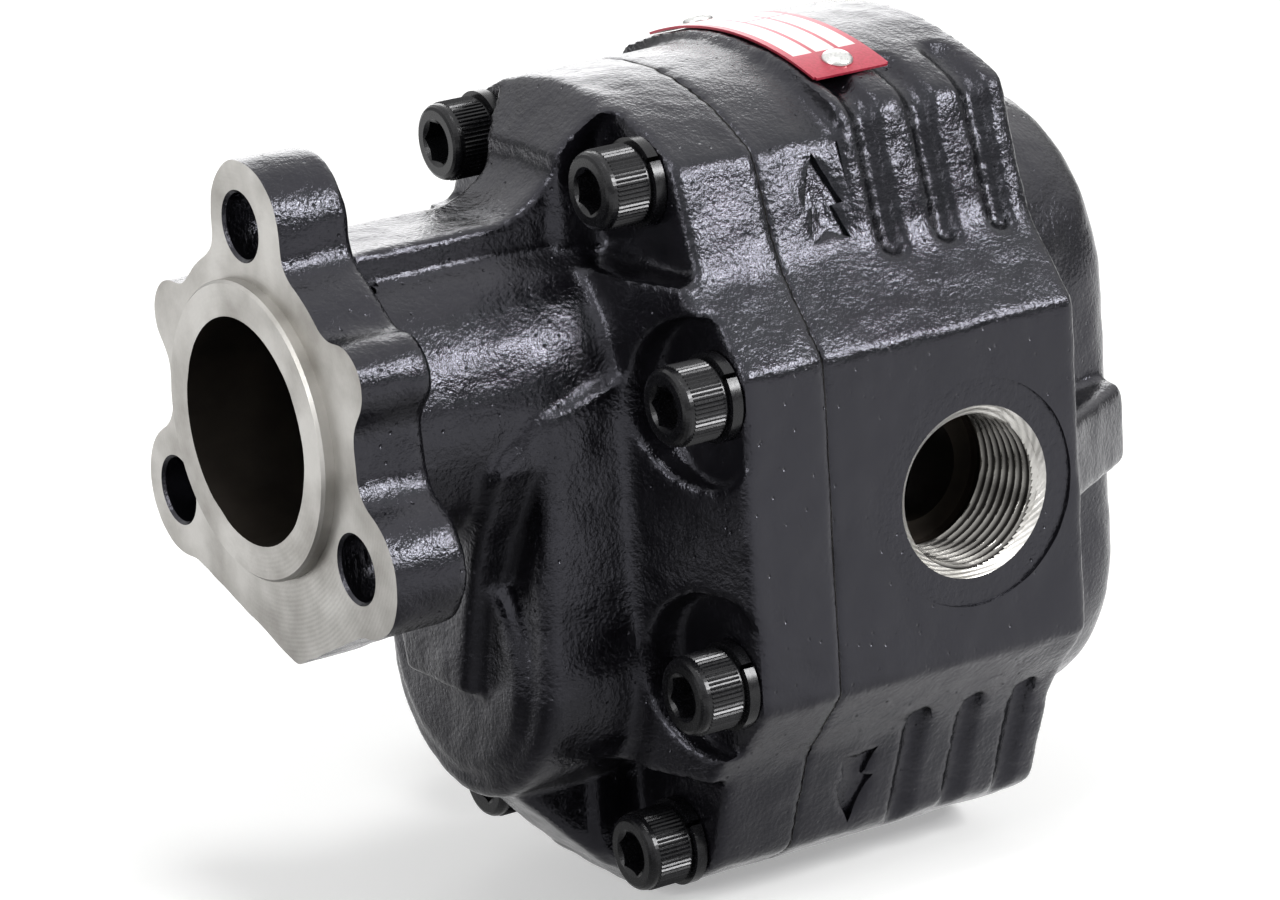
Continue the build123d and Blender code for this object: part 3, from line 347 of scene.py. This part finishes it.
def cut_iron(name, dark, light, smooth, rough, marks, tone=stained):
    """Bare cut iron with turning marks round the drive axis and graphite pits."""
    material, tree, place = new_material(name)
    reach = from_line(tree, place, (1.0, 0.0, 1.0), (0.0, 0.0, 0.0))
    rings = add_node(tree, "ShaderNodeMath", {"operation": "MULTIPLY"},
                     {0: reach, 1: 2 * pi / TURNING_PITCH}).outputs[0]
    rings = add_node(tree, "ShaderNodeMath", {"operation": "SINE"}, {0: rings}).outputs[0]
    graphite = noise(tree, place, GRAPHITE, 3.0)
    normal = relief(tree, rings, marks, CUT_DEPTH)
    normal = relief(tree, graphite, 0.2, CUT_DEPTH, normal)
    coat(tree, tone(tree, place, dark, light), spread(tree, graphite, smooth, rough),
         normal, 0.85)
    return material


# In this order the finishes stand in each casting's list.
ENAMEL, MILLED, BORED, THREADED, CHAMFERED = range(5)
casting_finishes = [
    enamelled_iron(),
    cut_iron("machined_cast_iron", "#95928D", "#C2C0BC", 0.30, 0.52, 0.05),
    # Bored iron is painted dark, as painted shade inside the shaft's bore and the ports'
    # passages.
    cut_iron("bored_cast_iron_with_painted_shade", "#2E2A27", "#443E38", 0.34, 0.50, 0.02),
    # The threads' colour is painted highlight on the crests and painted shade in the roots.
    cut_iron("threaded_cast_iron", "#171513", "#94928E", 0.18, 0.30, 0.0, painted_thread_shade),
    # A brighter copy of the cut iron for the ports' chamfer rings: painted highlight.
    cut_iron("cut_cast_iron_with_painted_highlight", "#A6A49F", "#E6E4E0", 0.22, 0.50, 0.35),
]

SKIN_STEP = 0.00105         # spacing of the cast skin's points
COVER_ROUNDING = 8          # smoothing passes; four give edges of about 1.2 mm
SAND_SIZE = 0.008           # the skin's broad unevenness, mostly inwards
SAND_DEPTH = 0.0006
SAND_LEVEL = 0.85
PUSH = 0.003                # the skin runs past the flange face, and is cut back to it
JOINT_PUSH = 0.0006         # and less past the joint, where a narrow groove shows
PAINT_EDGE = 0.00005        # a face this near to a milled plane is bare
SHARP_EDGE = radians(32)
BORE_BARE = 0.0241          # inside this radius the shaft's bore is bare
BORE_MOUTH = 0.003
END_FACING = 0.7
SQUARE_ON = 0.99
PORT_BARE = 0.0176          # inside this radius a port is bare
PORT_FLOOR = 0.012
CHAMFER_END = 0.0030        # depths below the port's face
THREAD_END = 0.0208
MERGE = 1e-6


def baked(piece):
    """Turns a piece and its modifiers into a plain mesh."""
    graph = bpy.context.evaluated_depsgraph_get()
    mesh = bpy.data.meshes.new_from_object(piece.evaluated_get(graph))
    piece.modifiers.clear()
    piece.data = mesh
    return piece


def combine(piece, tool, operation):
    """Joins a closed tool to a closed piece, or cuts its shape away, and drops the tool."""
    change = piece.modifiers.new("tool", "BOOLEAN")
    change.solver = "MANIFOLD"
    change.operation = operation
    change.object = tool
    baked(piece)
    bpy.data.objects.remove(tool)
    return piece


def rod_tool(start, end, radius):
    """Closed cylinder between two points."""
    form = bmesh.new()
    bmesh.ops.create_cone(form, cap_ends=True, segments=72, radius1=radius, radius2=radius,
                          depth=(end - start).length)
    turn = (end - start).to_track_quat("Z", "Y").to_matrix().to_4x4()
    form.transform(Matrix.Translation((start + end) / 2) @ turn)
    return place_form("rod_tool", form)


def block_tool(corner, opposite):
    """Closed block between two corners."""
    form = bmesh.new()
    bmesh.ops.create_cube(form, size=1.0)
    size = opposite - corner
    form.transform(Matrix.Translation((corner + opposite) / 2) @ Matrix.Diagonal((*size, 1.0)))
    return place_form("block_tool", form)


def slab_tool(front, rear):
    """Block round the whole pump between two places along the shaft."""
    return block_tool(Vector((-0.10, front, -0.15)), Vector((0.10, rear, 0.10)))


def solid_casting(node):
    """Merged copy of a casting's mesh."""
    form = bmesh.new()
    form.from_mesh(frame["nodes"][node].data)
    bmesh.ops.remove_doubles(form, verts=form.verts, dist=MERGE)
    return place_form(node + "_solid", form)


def cast_skin(node, push_face, fillers, hollows, rounding):
    """Soft-edged casting, run past its milled faces and filled where it is bored."""
    skin = solid_casting(node)
    for vertex in skin.data.vertices:
        vertex.co.y += push_face(vertex.co.y)
    for filler in fillers:
        combine(skin, filler, "UNION")
    for hollow in hollows:
        combine(skin, hollow, "DIFFERENCE")
    remesh = skin.modifiers.new("skin", "REMESH")
    remesh.mode = "VOXEL"
    remesh.voxel_size = SKIN_STEP
    smooth = skin.modifiers.new("edges", "SMOOTH")
    smooth.factor = 0.5
    smooth.iterations = rounding
    unevenness = bpy.data.textures.new(node + "_unevenness", "CLOUDS")
    unevenness.noise_scale = SAND_SIZE
    unevenness.noise_depth = 1
    uneven = skin.modifiers.new("sand", "DISPLACE")
    uneven.texture = unevenness
    uneven.texture_coords = "LOCAL"
    uneven.strength = SAND_DEPTH
    uneven.mid_level = SAND_LEVEL
    return baked(skin)


def cut_back(skin, node, regions):
    """Cuts the skin to the exact milled and bored faces inside each region."""
    for region in regions:
        air = combine(region, solid_casting(node), "DIFFERENCE")
        combine(skin, air, "DIFFERENCE")


def finish_of(centre, normal):
    """Which finish a casting's face has, from its place and the way it faces."""
    from_axis = sqrt(centre.x**2 + centre.z**2)
    from_port = sqrt((centre.y - port_place.y)**2 + (centre.z - port_place.z)**2)
    # The bore's walls get the dark bored iron, which is painted shade.
    if from_axis < BORE_BARE and centre.y < joint:
        if abs(normal.y) < END_FACING or centre.y > BORE_MOUTH:
            return BORED
    if centre.y < PAINT_EDGE:
        return MILLED
    if abs(normal.y) > SQUARE_ON and abs(centre.y - joint) < PAINT_EDGE:
        return MILLED
    if from_port < PORT_BARE and abs(centre.x) > PORT_FLOOR and centre.y > joint:
        depth = port_face - abs(centre.x)
        # The chamfer ring's brighter cut iron is painted highlight, and the passage past the
        # threads gets the dark bored iron as painted shade.
        return CHAMFERED if depth < CHAMFER_END else THREADED if depth < THREAD_END else BORED
    return ENAMEL


def finish_casting(skin, node):
    """Paints the skin, leaves the cut faces bare and hands the piece over."""
    form = bmesh.new()
    form.from_mesh(skin.data)
    for face in form.faces:
        face.material_index = finish_of(face.calc_center_median(), face.normal)
        face.smooth = True
    for edge in form.edges:
        if len(edge.link_faces) == 2:
            edge.smooth = edge.calc_face_angle(0) < SHARP_EDGE
    bpy.data.objects.remove(skin)
    piece = place_form(node + "_casting", form)
    for material in casting_finishes:
        piece.data.materials.append(material)
    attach(piece, "housing")
    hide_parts(node)


BORE_REGION = 0.0245        # wider than the seal bore and its circlip groove
BUSH_REGION = 0.020
BOLT_REGION = 0.0076
DRAIN_REGION = 0.0022
DRAIN_ANGLE = radians(64)
DRAIN_Y = 0.020
DRAIN_START = 0.016
NECK_SKIN = 0.0290
FLANGE_BACK = 0.0155
SEAT_OVERLAP = 0.001        # the seal bore's region runs this far past the bushes' seat
bolt_ring = mounts["flange_bolts"]["dims"]["pcd_mm"] / 2000
bolts = [Vector((bolt_ring * cos(radians(a)), 0, bolt_ring * sin(radians(a))))
         for a in (90, 210, 330)]
bush_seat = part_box("front_drive_bush")[0].y


def push_cover(y):
    """How far a point at y moves along the shaft to run past a milled face."""
    if y < PAINT_EDGE:
        return -PUSH - y
    return JOINT_PUSH if y > joint - PAINT_EDGE else 0.0


def cover_tools(front, rear, bolt_rear, drain_end):
    """Regions of the seal bore, bolt holes, bush pockets and drain."""
    drain = Vector((cos(DRAIN_ANGLE), 0, sin(DRAIN_ANGLE)))
    lower = Vector((0, 0, driven.z))
    tools = [rod_tool(along * front, along * (bush_seat + SEAT_OVERLAP), BORE_REGION)]
    tools += [rod_tool(b + along * front, b + along * bolt_rear, BOLT_REGION) for b in bolts]
    tools += [rod_tool(along * (bush_seat - 0.002), along * rear, BUSH_REGION)]
    tools += [rod_tool(lower + along * (bush_seat - 0.004), lower + along * rear, BUSH_REGION)]
    tools += [rod_tool(along * DRAIN_Y + drain * DRAIN_START,
                       along * DRAIN_Y + drain * drain_end, DRAIN_REGION)]
    return tools


cover_fillers = cover_tools(-PUSH + 0.0002, joint + JOINT_PUSH, FLANGE_BACK, NECK_SKIN - 0.0004)
skin = cast_skin("front_cover", push_cover, cover_fillers, [], COVER_ROUNDING)
cut_back(skin, "front_cover", [slab_tool(-0.012, 0.0), slab_tool(joint, joint + 0.010)]
         + cover_tools(-0.010, joint + 0.004, 0.024, 0.036))
finish_casting(skin, "front_cover")


# ---- Pump body ----------------------------------------------------------------------------
# Grey iron, sand-cast and enamelled like the cover. It holds the gear chamber in its middle
# and the rear bushes in its domed end, and carries grooves and flow arrows on its facets. It
# is milled on the joint, and bored, chamfered and threaded for a fitting on both sides.

BODY_ROUNDING = 5
PORT_REGION = 0.0242
CHAMBER_REGION = 0.0330
THREAD_PITCH = 0.002309
THREAD_DEPTH = 0.00148
THREAD_RUN = 0.0200
THREAD_START = 0.0010       # depth below the port's face
THREAD_CLEAR = 0.0001
TURN_STEPS = 10
AROUND = 72
GROOVES = 3
GROOVE_FRONT = joint + 0.026
GROOVE_STEP = 0.013
GROOVE_RADIUS = 0.0033
GROOVE_PATH = ((0.0502, 0.0235), (0.0402, 0.0475), (0.0360, 0.0512), (0.0270, 0.0546))
ARROW_FRONT = 0.0985        # region of the flow arrows along the shaft
ARROW_REAR = 0.1105
ARROW_INNER = 0.036         # across the pump
ARROW_OUTER = 0.062
ARROW_NEAR = 0.0035         # and away from the nearer gear's axis, up or down
ARROW_FAR = 0.0430
chamber_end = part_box("rear_wear_plate")[1].y
bush_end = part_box("rear_drive_bush")[1].y


def push_body(y):
    """How far a point at y moves along the shaft to run past the joint."""
    return -JOINT_PUSH if y < joint + PAINT_EDGE else 0.0


def body_tools(front, port_end):
    """Regions of the gear chamber, rear bush pockets and ports."""
    tools = []
    for axis in (Vector((0, 0, 0)), Vector((0, 0, driven.z))):
        tools += [rod_tool(axis + along * front, axis + along * (chamber_end + 0.001),
                           CHAMBER_REGION)]
        tools += [rod_tool(axis + along * (chamber_end - 0.002),
                           axis + along * (bush_end + 0.0015), BUSH_REGION)]
    for side in (1, -1):
        middle = Vector((0, port_place.y, port_place.z))
        tools += [rod_tool(middle + Vector((side * 0.020, 0, 0)),
                           middle + Vector((side * port_end, 0, 0)), PORT_REGION)]
    return tools


def thread_tool(side):
    """Closed screw form that cuts the thread of a port."""
    outer = port_face - THREAD_START
    steps = int(THREAD_RUN / THREAD_PITCH * TURN_STEPS)
    form = bmesh.new()
    rows = []
    for step in range(steps + 1):
        depth = THREAD_RUN * step / steps
        row = []
        for index in range(AROUND):
            angle = 2 * pi * index / AROUND
            phase = (depth / THREAD_PITCH + index / AROUND) % 1.0
            radius = crest_radius - THREAD_CLEAR + THREAD_DEPTH * (1 - abs(2 * phase - 1))
            row.append(form.verts.new((side * (outer - depth),
                                       port_place.y + radius * cos(angle),
                                       port_place.z + radius * sin(angle))))
        rows.append(row)
    for near, far in zip(rows, rows[1:]):
        for index in range(AROUND):
            after = (index + 1) % AROUND
            form.faces.new((near[index], near[after], far[after], far[index]))
    form.faces.new(rows[0])
    form.faces.new(rows[-1])
    bmesh.ops.recalc_face_normals(form, faces=form.faces)
    bmesh.ops.triangulate(form, faces=form.faces)
    return place_form("thread_tool", form)


def groove_tools(side):
    """Round-bottomed grooves that run up a slanted facet and over the edge of the top."""
    tools = []
    for index in range(GROOVES):
        y = GROOVE_FRONT + index * GROOVE_STEP
        points = [Vector((side * x, y, z)) for x, z in GROOVE_PATH]
        tools += [rod_tool(start, end, GROOVE_RADIUS) for start, end in zip(points, points[1:])]
        for point in points:
            form = bmesh.new()
            bmesh.ops.create_uvsphere(form, u_segments=32, v_segments=16, radius=GROOVE_RADIUS)
            form.transform(Matrix.Translation(point))
            tools.append(place_form("groove_end", form))
    return tools


def arrow_tool(side, low_z, high_z):
    """Region of one flow arrow on a facet."""
    return block_tool(
        Vector((min(side * ARROW_INNER, side * ARROW_OUTER), ARROW_FRONT, low_z)),
        Vector((max(side * ARROW_INNER, side * ARROW_OUTER), ARROW_REAR, high_z)))


skin = cast_skin("pump_body", push_body, body_tools(joint - JOINT_PUSH, port_face),
                 groove_tools(1) + groove_tools(-1), BODY_ROUNDING)
arrows = []
for side in (1, -1):
    arrows += [arrow_tool(side, ARROW_NEAR, ARROW_FAR)]
    arrows += [arrow_tool(side, driven.z - ARROW_FAR, driven.z - ARROW_NEAR)]
cut_back(skin, "pump_body", [slab_tool(joint - 0.010, joint)] + arrows
         + body_tools(joint - 0.004, port_face + 0.006))
for side in (1, -1):
    combine(skin, thread_tool(side), "DIFFERENCE")
finish_casting(skin, "pump_body")


# ---- Pieces inside, washers and rivets ----------------------------------------------------
# Gears are case-hardened steel, ground all over and wiped with oil. Bushes and wear plates
# are bearing bronze, seals moulded nitrile with plastic backup strips, and springs, circlip,
# spacer and dowels plain steel. Spring washers are black oxide, drive rivets bare aluminium.

def fine_finish(name, dark, light, roughness, metallic=1.0, grain=0.0006, depth=0.00004):
    """Metal, rubber or plastic with a fine grain in its tone, gloss and surface."""
    material, tree, place = new_material(name)
    spots = noise(tree, place, grain, 3.0)
    coat(tree, ramp(tree, spots, dark, light, 0.3, 0.7),
         spread(tree, spots, roughness - 0.06, roughness + 0.08),
         relief(tree, spots, 0.3, depth), metallic)
    return material


ground_steel = fine_finish("ground_case_hardened_steel", "#8E8F92", "#A9AAAD", 0.30)
plain_steel = fine_finish("bright_drawn_steel", "#9A9A9C", "#B4B4B6", 0.35)
spring_steel = fine_finish("oiled_spring_steel", "#3F4144", "#5C5E62", 0.38)
black_oxide = fine_finish("black_oxide_steel", "#0E0E10", "#19191C", 0.26, metallic=0.35)
bronze = fine_finish("bearing_bronze", "#8A6A3A", "#A88450", 0.38)
nitrile = fine_finish("moulded_nitrile_rubber", "#141414", "#1E1E1E", 0.55, metallic=0.0)
plastic = fine_finish("moulded_backup_plastic", "#D6D2C6", "#E4E1D8", 0.45, metallic=0.0)
rivet_metal = fine_finish("bright_rivet_aluminium", "#C4C4C2", "#DEDEDC", 0.28)

finishes = {
    "drive_gear": ground_steel,
    "driven_gear": ground_steel,
    "front_drive_bush": bronze,
    "front_driven_bush": bronze,
    "rear_drive_bush": bronze,
    "rear_driven_bush": bronze,
    "front_wear_plate": bronze,
    "rear_wear_plate": bronze,
    "front_plate_seal": nitrile,
    "rear_plate_seal": nitrile,
    "case_seal": nitrile,
    "outer_shaft_seal": nitrile,
    "inner_shaft_seal": nitrile,
    "front_plate_backup": plastic,
    "rear_plate_backup": plastic,
    "outer_seal_spring": spring_steel,
    "inner_seal_spring": spring_steel,
    "seal_circlip": spring_steel,
    "seal_spacer": plain_steel,
    "dowels": plain_steel,
    "spring_washers": black_oxide,
    "nameplate_rivets": rivet_metal,
}
for node, finish in finishes.items():
    solid = frame["nodes"][node]
    solid.data.materials.clear()
    solid.data.materials.append(finish)


# ---- Cover screws -------------------------------------------------------------------------
# Eight M10 hexagon socket screws, black oxide, hold the front cover on the body. Each head
# has a plain turned front, straight knurling behind it and a countersunk socket.

HEAD_HEIGHT = 0.0100
HEAD_BAND = 0.0022          # plain band in front of the knurling
HEAD_SIDES = 64
BLANK_RADIUS = 0.0077       # the head's radius below the knurling
SHANK_RADIUS = 0.0050
SHANK_CHAMFER = 0.001
SOCKET_FLATS = 0.0080
SOCKET_DEPTH = 0.0050
SOCKET_CLEAR = 0.0001
COUNTERSINK_RADIUS = 0.0052
COUNTERSINK_DEPTH = 0.0006
RIDGES = 56
RIDGE_WIDTH = 0.00031
KNURL_RADIUS = 0.00766
KNURL_LENGTH = 0.0068
TURN_SEED = 7

form = bmesh.new()
form.from_mesh(frame["nodes"]["cap_screws"].data)
bmesh.ops.remove_doubles(form, verts=form.verts, dist=MERGE)
left = set(form.verts)
heads = []
while left:
    island = []
    front_line = [left.pop()]
    while front_line:
        vertex = front_line.pop()
        island.append(vertex.co.copy())
        for edge in vertex.link_edges:
            other = edge.other_vert(vertex)
            if other in left:
                left.discard(other)
                front_line.append(other)
    across = [(min(c[i] for c in island) + max(c[i] for c in island)) / 2 for i in (0, 2)]
    heads.append(Vector((across[0], min(c.y for c in island), across[1])))
    screw_length = max(c.y for c in island) - min(c.y for c in island)
form.free()
heads.sort(key=lambda h: (round(h.x, 3), round(h.z, 3)))

# Radius and height of each corner, from the middle of the head's front to the shank's end.
profile = [(0.0, 0.0), (0.0066, 0.0), (0.0072, -0.0003), (0.0076, -0.0009),
           (BLANK_RADIUS, -0.0013), (BLANK_RADIUS, -0.0094), (0.0074, -HEAD_HEIGHT),
           (SHANK_RADIUS, -HEAD_HEIGHT), (SHANK_RADIUS, SHANK_CHAMFER - screw_length),
           (SHANK_RADIUS - SHANK_CHAMFER, -screw_length), (0.0, -screw_length)]
form = bmesh.new()
rows = []
for radius, height in profile:
    angles = [2 * pi * n / HEAD_SIDES for n in range(HEAD_SIDES if radius else 1)]
    rows.append([form.verts.new((radius * cos(a), radius * sin(a), height)) for a in angles])
for near, far in zip(rows, rows[1:]):
    for n in range(HEAD_SIDES):
        ring = [near[n % len(near)], near[(n + 1) % len(near)],
                far[(n + 1) % len(far)], far[n % len(far)]]
        form.faces.new(list(dict.fromkeys(ring)))
bmesh.ops.recalc_face_normals(form, faces=form.faces)
blank = place_form("screw_blank", form)
for depth, mouth, foot, sides in (
        (SOCKET_DEPTH, SOCKET_FLATS / 2, SOCKET_FLATS / 2, 6),
        (COUNTERSINK_DEPTH, COUNTERSINK_RADIUS, SOCKET_FLATS / 2, 48)):
    form = bmesh.new()
    corner = 1 / cos(pi / sides)
    bmesh.ops.create_cone(form, cap_ends=True, segments=sides, radius1=foot * corner,
                          radius2=mouth * corner, depth=depth + 2 * SOCKET_CLEAR)
    form.transform(Matrix.Translation((0, 0, SOCKET_CLEAR - depth / 2)))
    combine(blank, place_form("socket_tool", form), "DIFFERENCE")

screws_tree = bpy.data.node_groups.new("cover_screws", "GeometryNodeTree")
sockets = {}
for name, kind in (("Seats", "NodeSocketGeometry"), ("Screw", "NodeSocketObject"),
                   ("Ridges", "NodeSocketInt"), ("Knurl Radius", "NodeSocketFloat"),
                   ("Knurl Length", "NodeSocketFloat"), ("Ridge Width", "NodeSocketFloat"),
                   ("Finish", "NodeSocketMaterial"), ("Seed", "NodeSocketInt")):
    sockets[name] = screws_tree.interface.new_socket(name, in_out="INPUT", socket_type=kind)
screws_tree.interface.new_socket("Screws", in_out="OUTPUT", socket_type="NodeSocketGeometry")
given = add_node(screws_tree, "NodeGroupInput").outputs
ring = add_node(screws_tree, "GeometryNodeMeshCircle", None,
                {"Vertices": given["Ridges"], "Radius": given["Knurl Radius"]})
drop = add_node(screws_tree, "ShaderNodeMath", {"operation": "MULTIPLY_ADD"},
                {0: given["Knurl Length"], 1: -0.5, 2: -HEAD_BAND})
drop = add_node(screws_tree, "ShaderNodeCombineXYZ", None, {"Z": drop.outputs[0]})
ring = add_node(screws_tree, "GeometryNodeTransform", None,
                {"Geometry": ring.outputs["Mesh"], "Translation": drop.outputs[0]})
where = add_node(screws_tree, "GeometryNodeInputPosition")
outward = add_node(screws_tree, "ShaderNodeVectorMath", {"operation": "MULTIPLY"},
                   {0: where.outputs[0], 1: (1.0, 1.0, 0.0)})
facing = add_node(screws_tree, "FunctionNodeAlignRotationToVector", {"axis": "X"},
                  {"Vector": outward.outputs[0]})
ridge = add_node(screws_tree, "GeometryNodeMeshCylinder", None,
                 {"Vertices": 4, "Radius": given["Ridge Width"],
                  "Depth": given["Knurl Length"]})
knurl = add_node(screws_tree, "GeometryNodeInstanceOnPoints", None,
                 {"Points": ring.outputs["Geometry"], "Instance": ridge.outputs["Mesh"],
                  "Rotation": facing.outputs[0]})
blank_form = add_node(screws_tree, "GeometryNodeObjectInfo", None, {"Object": given["Screw"]})
whole = add_node(screws_tree, "GeometryNodeJoinGeometry")
screws_tree.links.new(blank_form.outputs["Geometry"], whole.inputs[0])
screws_tree.links.new(knurl.outputs["Instances"], whole.inputs[0])
turn = add_node(screws_tree, "FunctionNodeRandomValue", {"data_type": "FLOAT_VECTOR"},
                {"Seed": given["Seed"]})
turn.inputs[0].default_value = (pi / 2, 0.0, 0.0)
turn.inputs[1].default_value = (pi / 2, pi / 3, 0.0)
placed = add_node(screws_tree, "GeometryNodeInstanceOnPoints", None,
                  {"Points": given["Seats"], "Instance": whole.outputs[0],
                   "Rotation": turn.outputs[0]})
placed = add_node(screws_tree, "GeometryNodeRealizeInstances", None,
                  {"Geometry": placed.outputs["Instances"]})
placed = add_node(screws_tree, "GeometryNodeSetMaterial", None,
                  {"Geometry": placed.outputs["Geometry"], "Material": given["Finish"]})
add_node(screws_tree, "NodeGroupOutput", None, {"Screws": placed.outputs["Geometry"]})

mesh = bpy.data.meshes.new("cover_screws")
mesh.from_pydata([tuple(h) for h in heads], [], [])
screws = place_mesh("cover_screws", mesh)
screwed = screws.modifiers.new("cover_screws", "NODES")
screwed.node_group = screws_tree
for name, value in (("Screw", blank), ("Ridges", RIDGES), ("Knurl Radius", KNURL_RADIUS),
                    ("Knurl Length", KNURL_LENGTH), ("Ridge Width", RIDGE_WIDTH),
                    ("Finish", black_oxide), ("Seed", TURN_SEED)):
    screwed[sockets[name].identifier] = value
baked(screws)
bpy.data.objects.remove(blank)
for face in screws.data.polygons:
    face.use_smooth = False
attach(screws, "housing")
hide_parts("cap_screws")


# ---- Nameplate ----------------------------------------------------------------------------
# Thin aluminium plate, anodised red round bare fields, bent over the body's arched top and
# held by two drive rivets. Its fields are left empty.

PLATE_SHEET = 0.0005
PLATE_GAP = 0.0001          # between the sheet and its place on the body
PLATE_RISE = 0.0006         # the sheet and the gap
PLATE_STEP = 0.0005
FIELD_MARGIN = 0.0017       # red border along the plate's sides
FIELD_ENDS = 0.0092         # and at its ends, round the rivets
FIELD_RULE = 0.00075        # red lines between the fields
RULE_SHARES = (0.36, 0.66)  # their places across the plate
SHORT_RULE = -0.004         # place of the line that crosses the two wider fields

red_aluminium = fine_finish("red_anodised_aluminium_sheet", "#9E2334", "#B8324A", 0.34,
                            metallic=0.3)
bare_field = fine_finish("bare_brushed_aluminium_field", "#DCCCCB", "#F0E6E4", 0.38,
                         metallic=0.25)
plate_low, plate_high = [Vector(c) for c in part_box("nameplate")]
half_wide = (plate_high.x - plate_low.x) / 2
rise = plate_high.z - plate_low.z - PLATE_RISE
arch = (half_wide**2 + rise**2) / (2 * rise)
arch_centre = plate_high.z - PLATE_RISE - arch
long_steps = round(2 * half_wide / PLATE_STEP)
wide_steps = round((plate_high.y - plate_low.y) / PLATE_STEP)


def field(across, depth):
    """Whether a place on the plate, from its middle and its front edge, is a bare field."""
    width = plate_high.y - plate_low.y
    if min(depth, width - depth) < FIELD_MARGIN or abs(across) > half_wide - FIELD_ENDS:
        return False
    if min(abs(depth - width * share) for share in RULE_SHARES) < FIELD_RULE / 2:
        return False
    return depth < width * RULE_SHARES[0] or abs(across - SHORT_RULE) > FIELD_RULE / 2


form = bmesh.new()
rows = []
for n in range(long_steps + 1):
    angle = (2 * n / long_steps - 1) * atan2(half_wide, sqrt(arch**2 - half_wide**2))
    rows.append([form.verts.new((arch * sin(angle), plate_low.y + PLATE_GAP
                                 + (plate_high.y - plate_low.y - 2 * PLATE_GAP) * m / wide_steps,
                                 arch_centre + (arch + PLATE_GAP) * cos(angle)))
                 for m in range(wide_steps + 1)])
for n, (near, far) in enumerate(zip(rows, rows[1:])):
    for m in range(wide_steps):
        if n in (0, long_steps - 1) and m in (0, wide_steps - 1):
            continue
        face = form.faces.new((near[m], far[m], far[m + 1], near[m + 1]))
        centre = face.calc_center_median()
        face.material_index = 1 if field(centre.x, centre.y - plate_low.y) else 0
bmesh.ops.recalc_face_normals(form, faces=form.faces)
bmesh.ops.delete(form, geom=[v for v in form.verts if not v.link_faces], context="VERTS")
if sum(f.normal.z for f in form.faces) < 0:
    bmesh.ops.reverse_faces(form, faces=form.faces)
plate = place_form("printed_nameplate", form)
plate.data.materials.append(red_aluminium)
plate.data.materials.append(bare_field)
sheet = plate.modifiers.new("sheet", "SOLIDIFY")
sheet.thickness = PLATE_SHEET
sheet.offset = 1.0
baked(plate)
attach(plate, "housing")
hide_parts("nameplate")
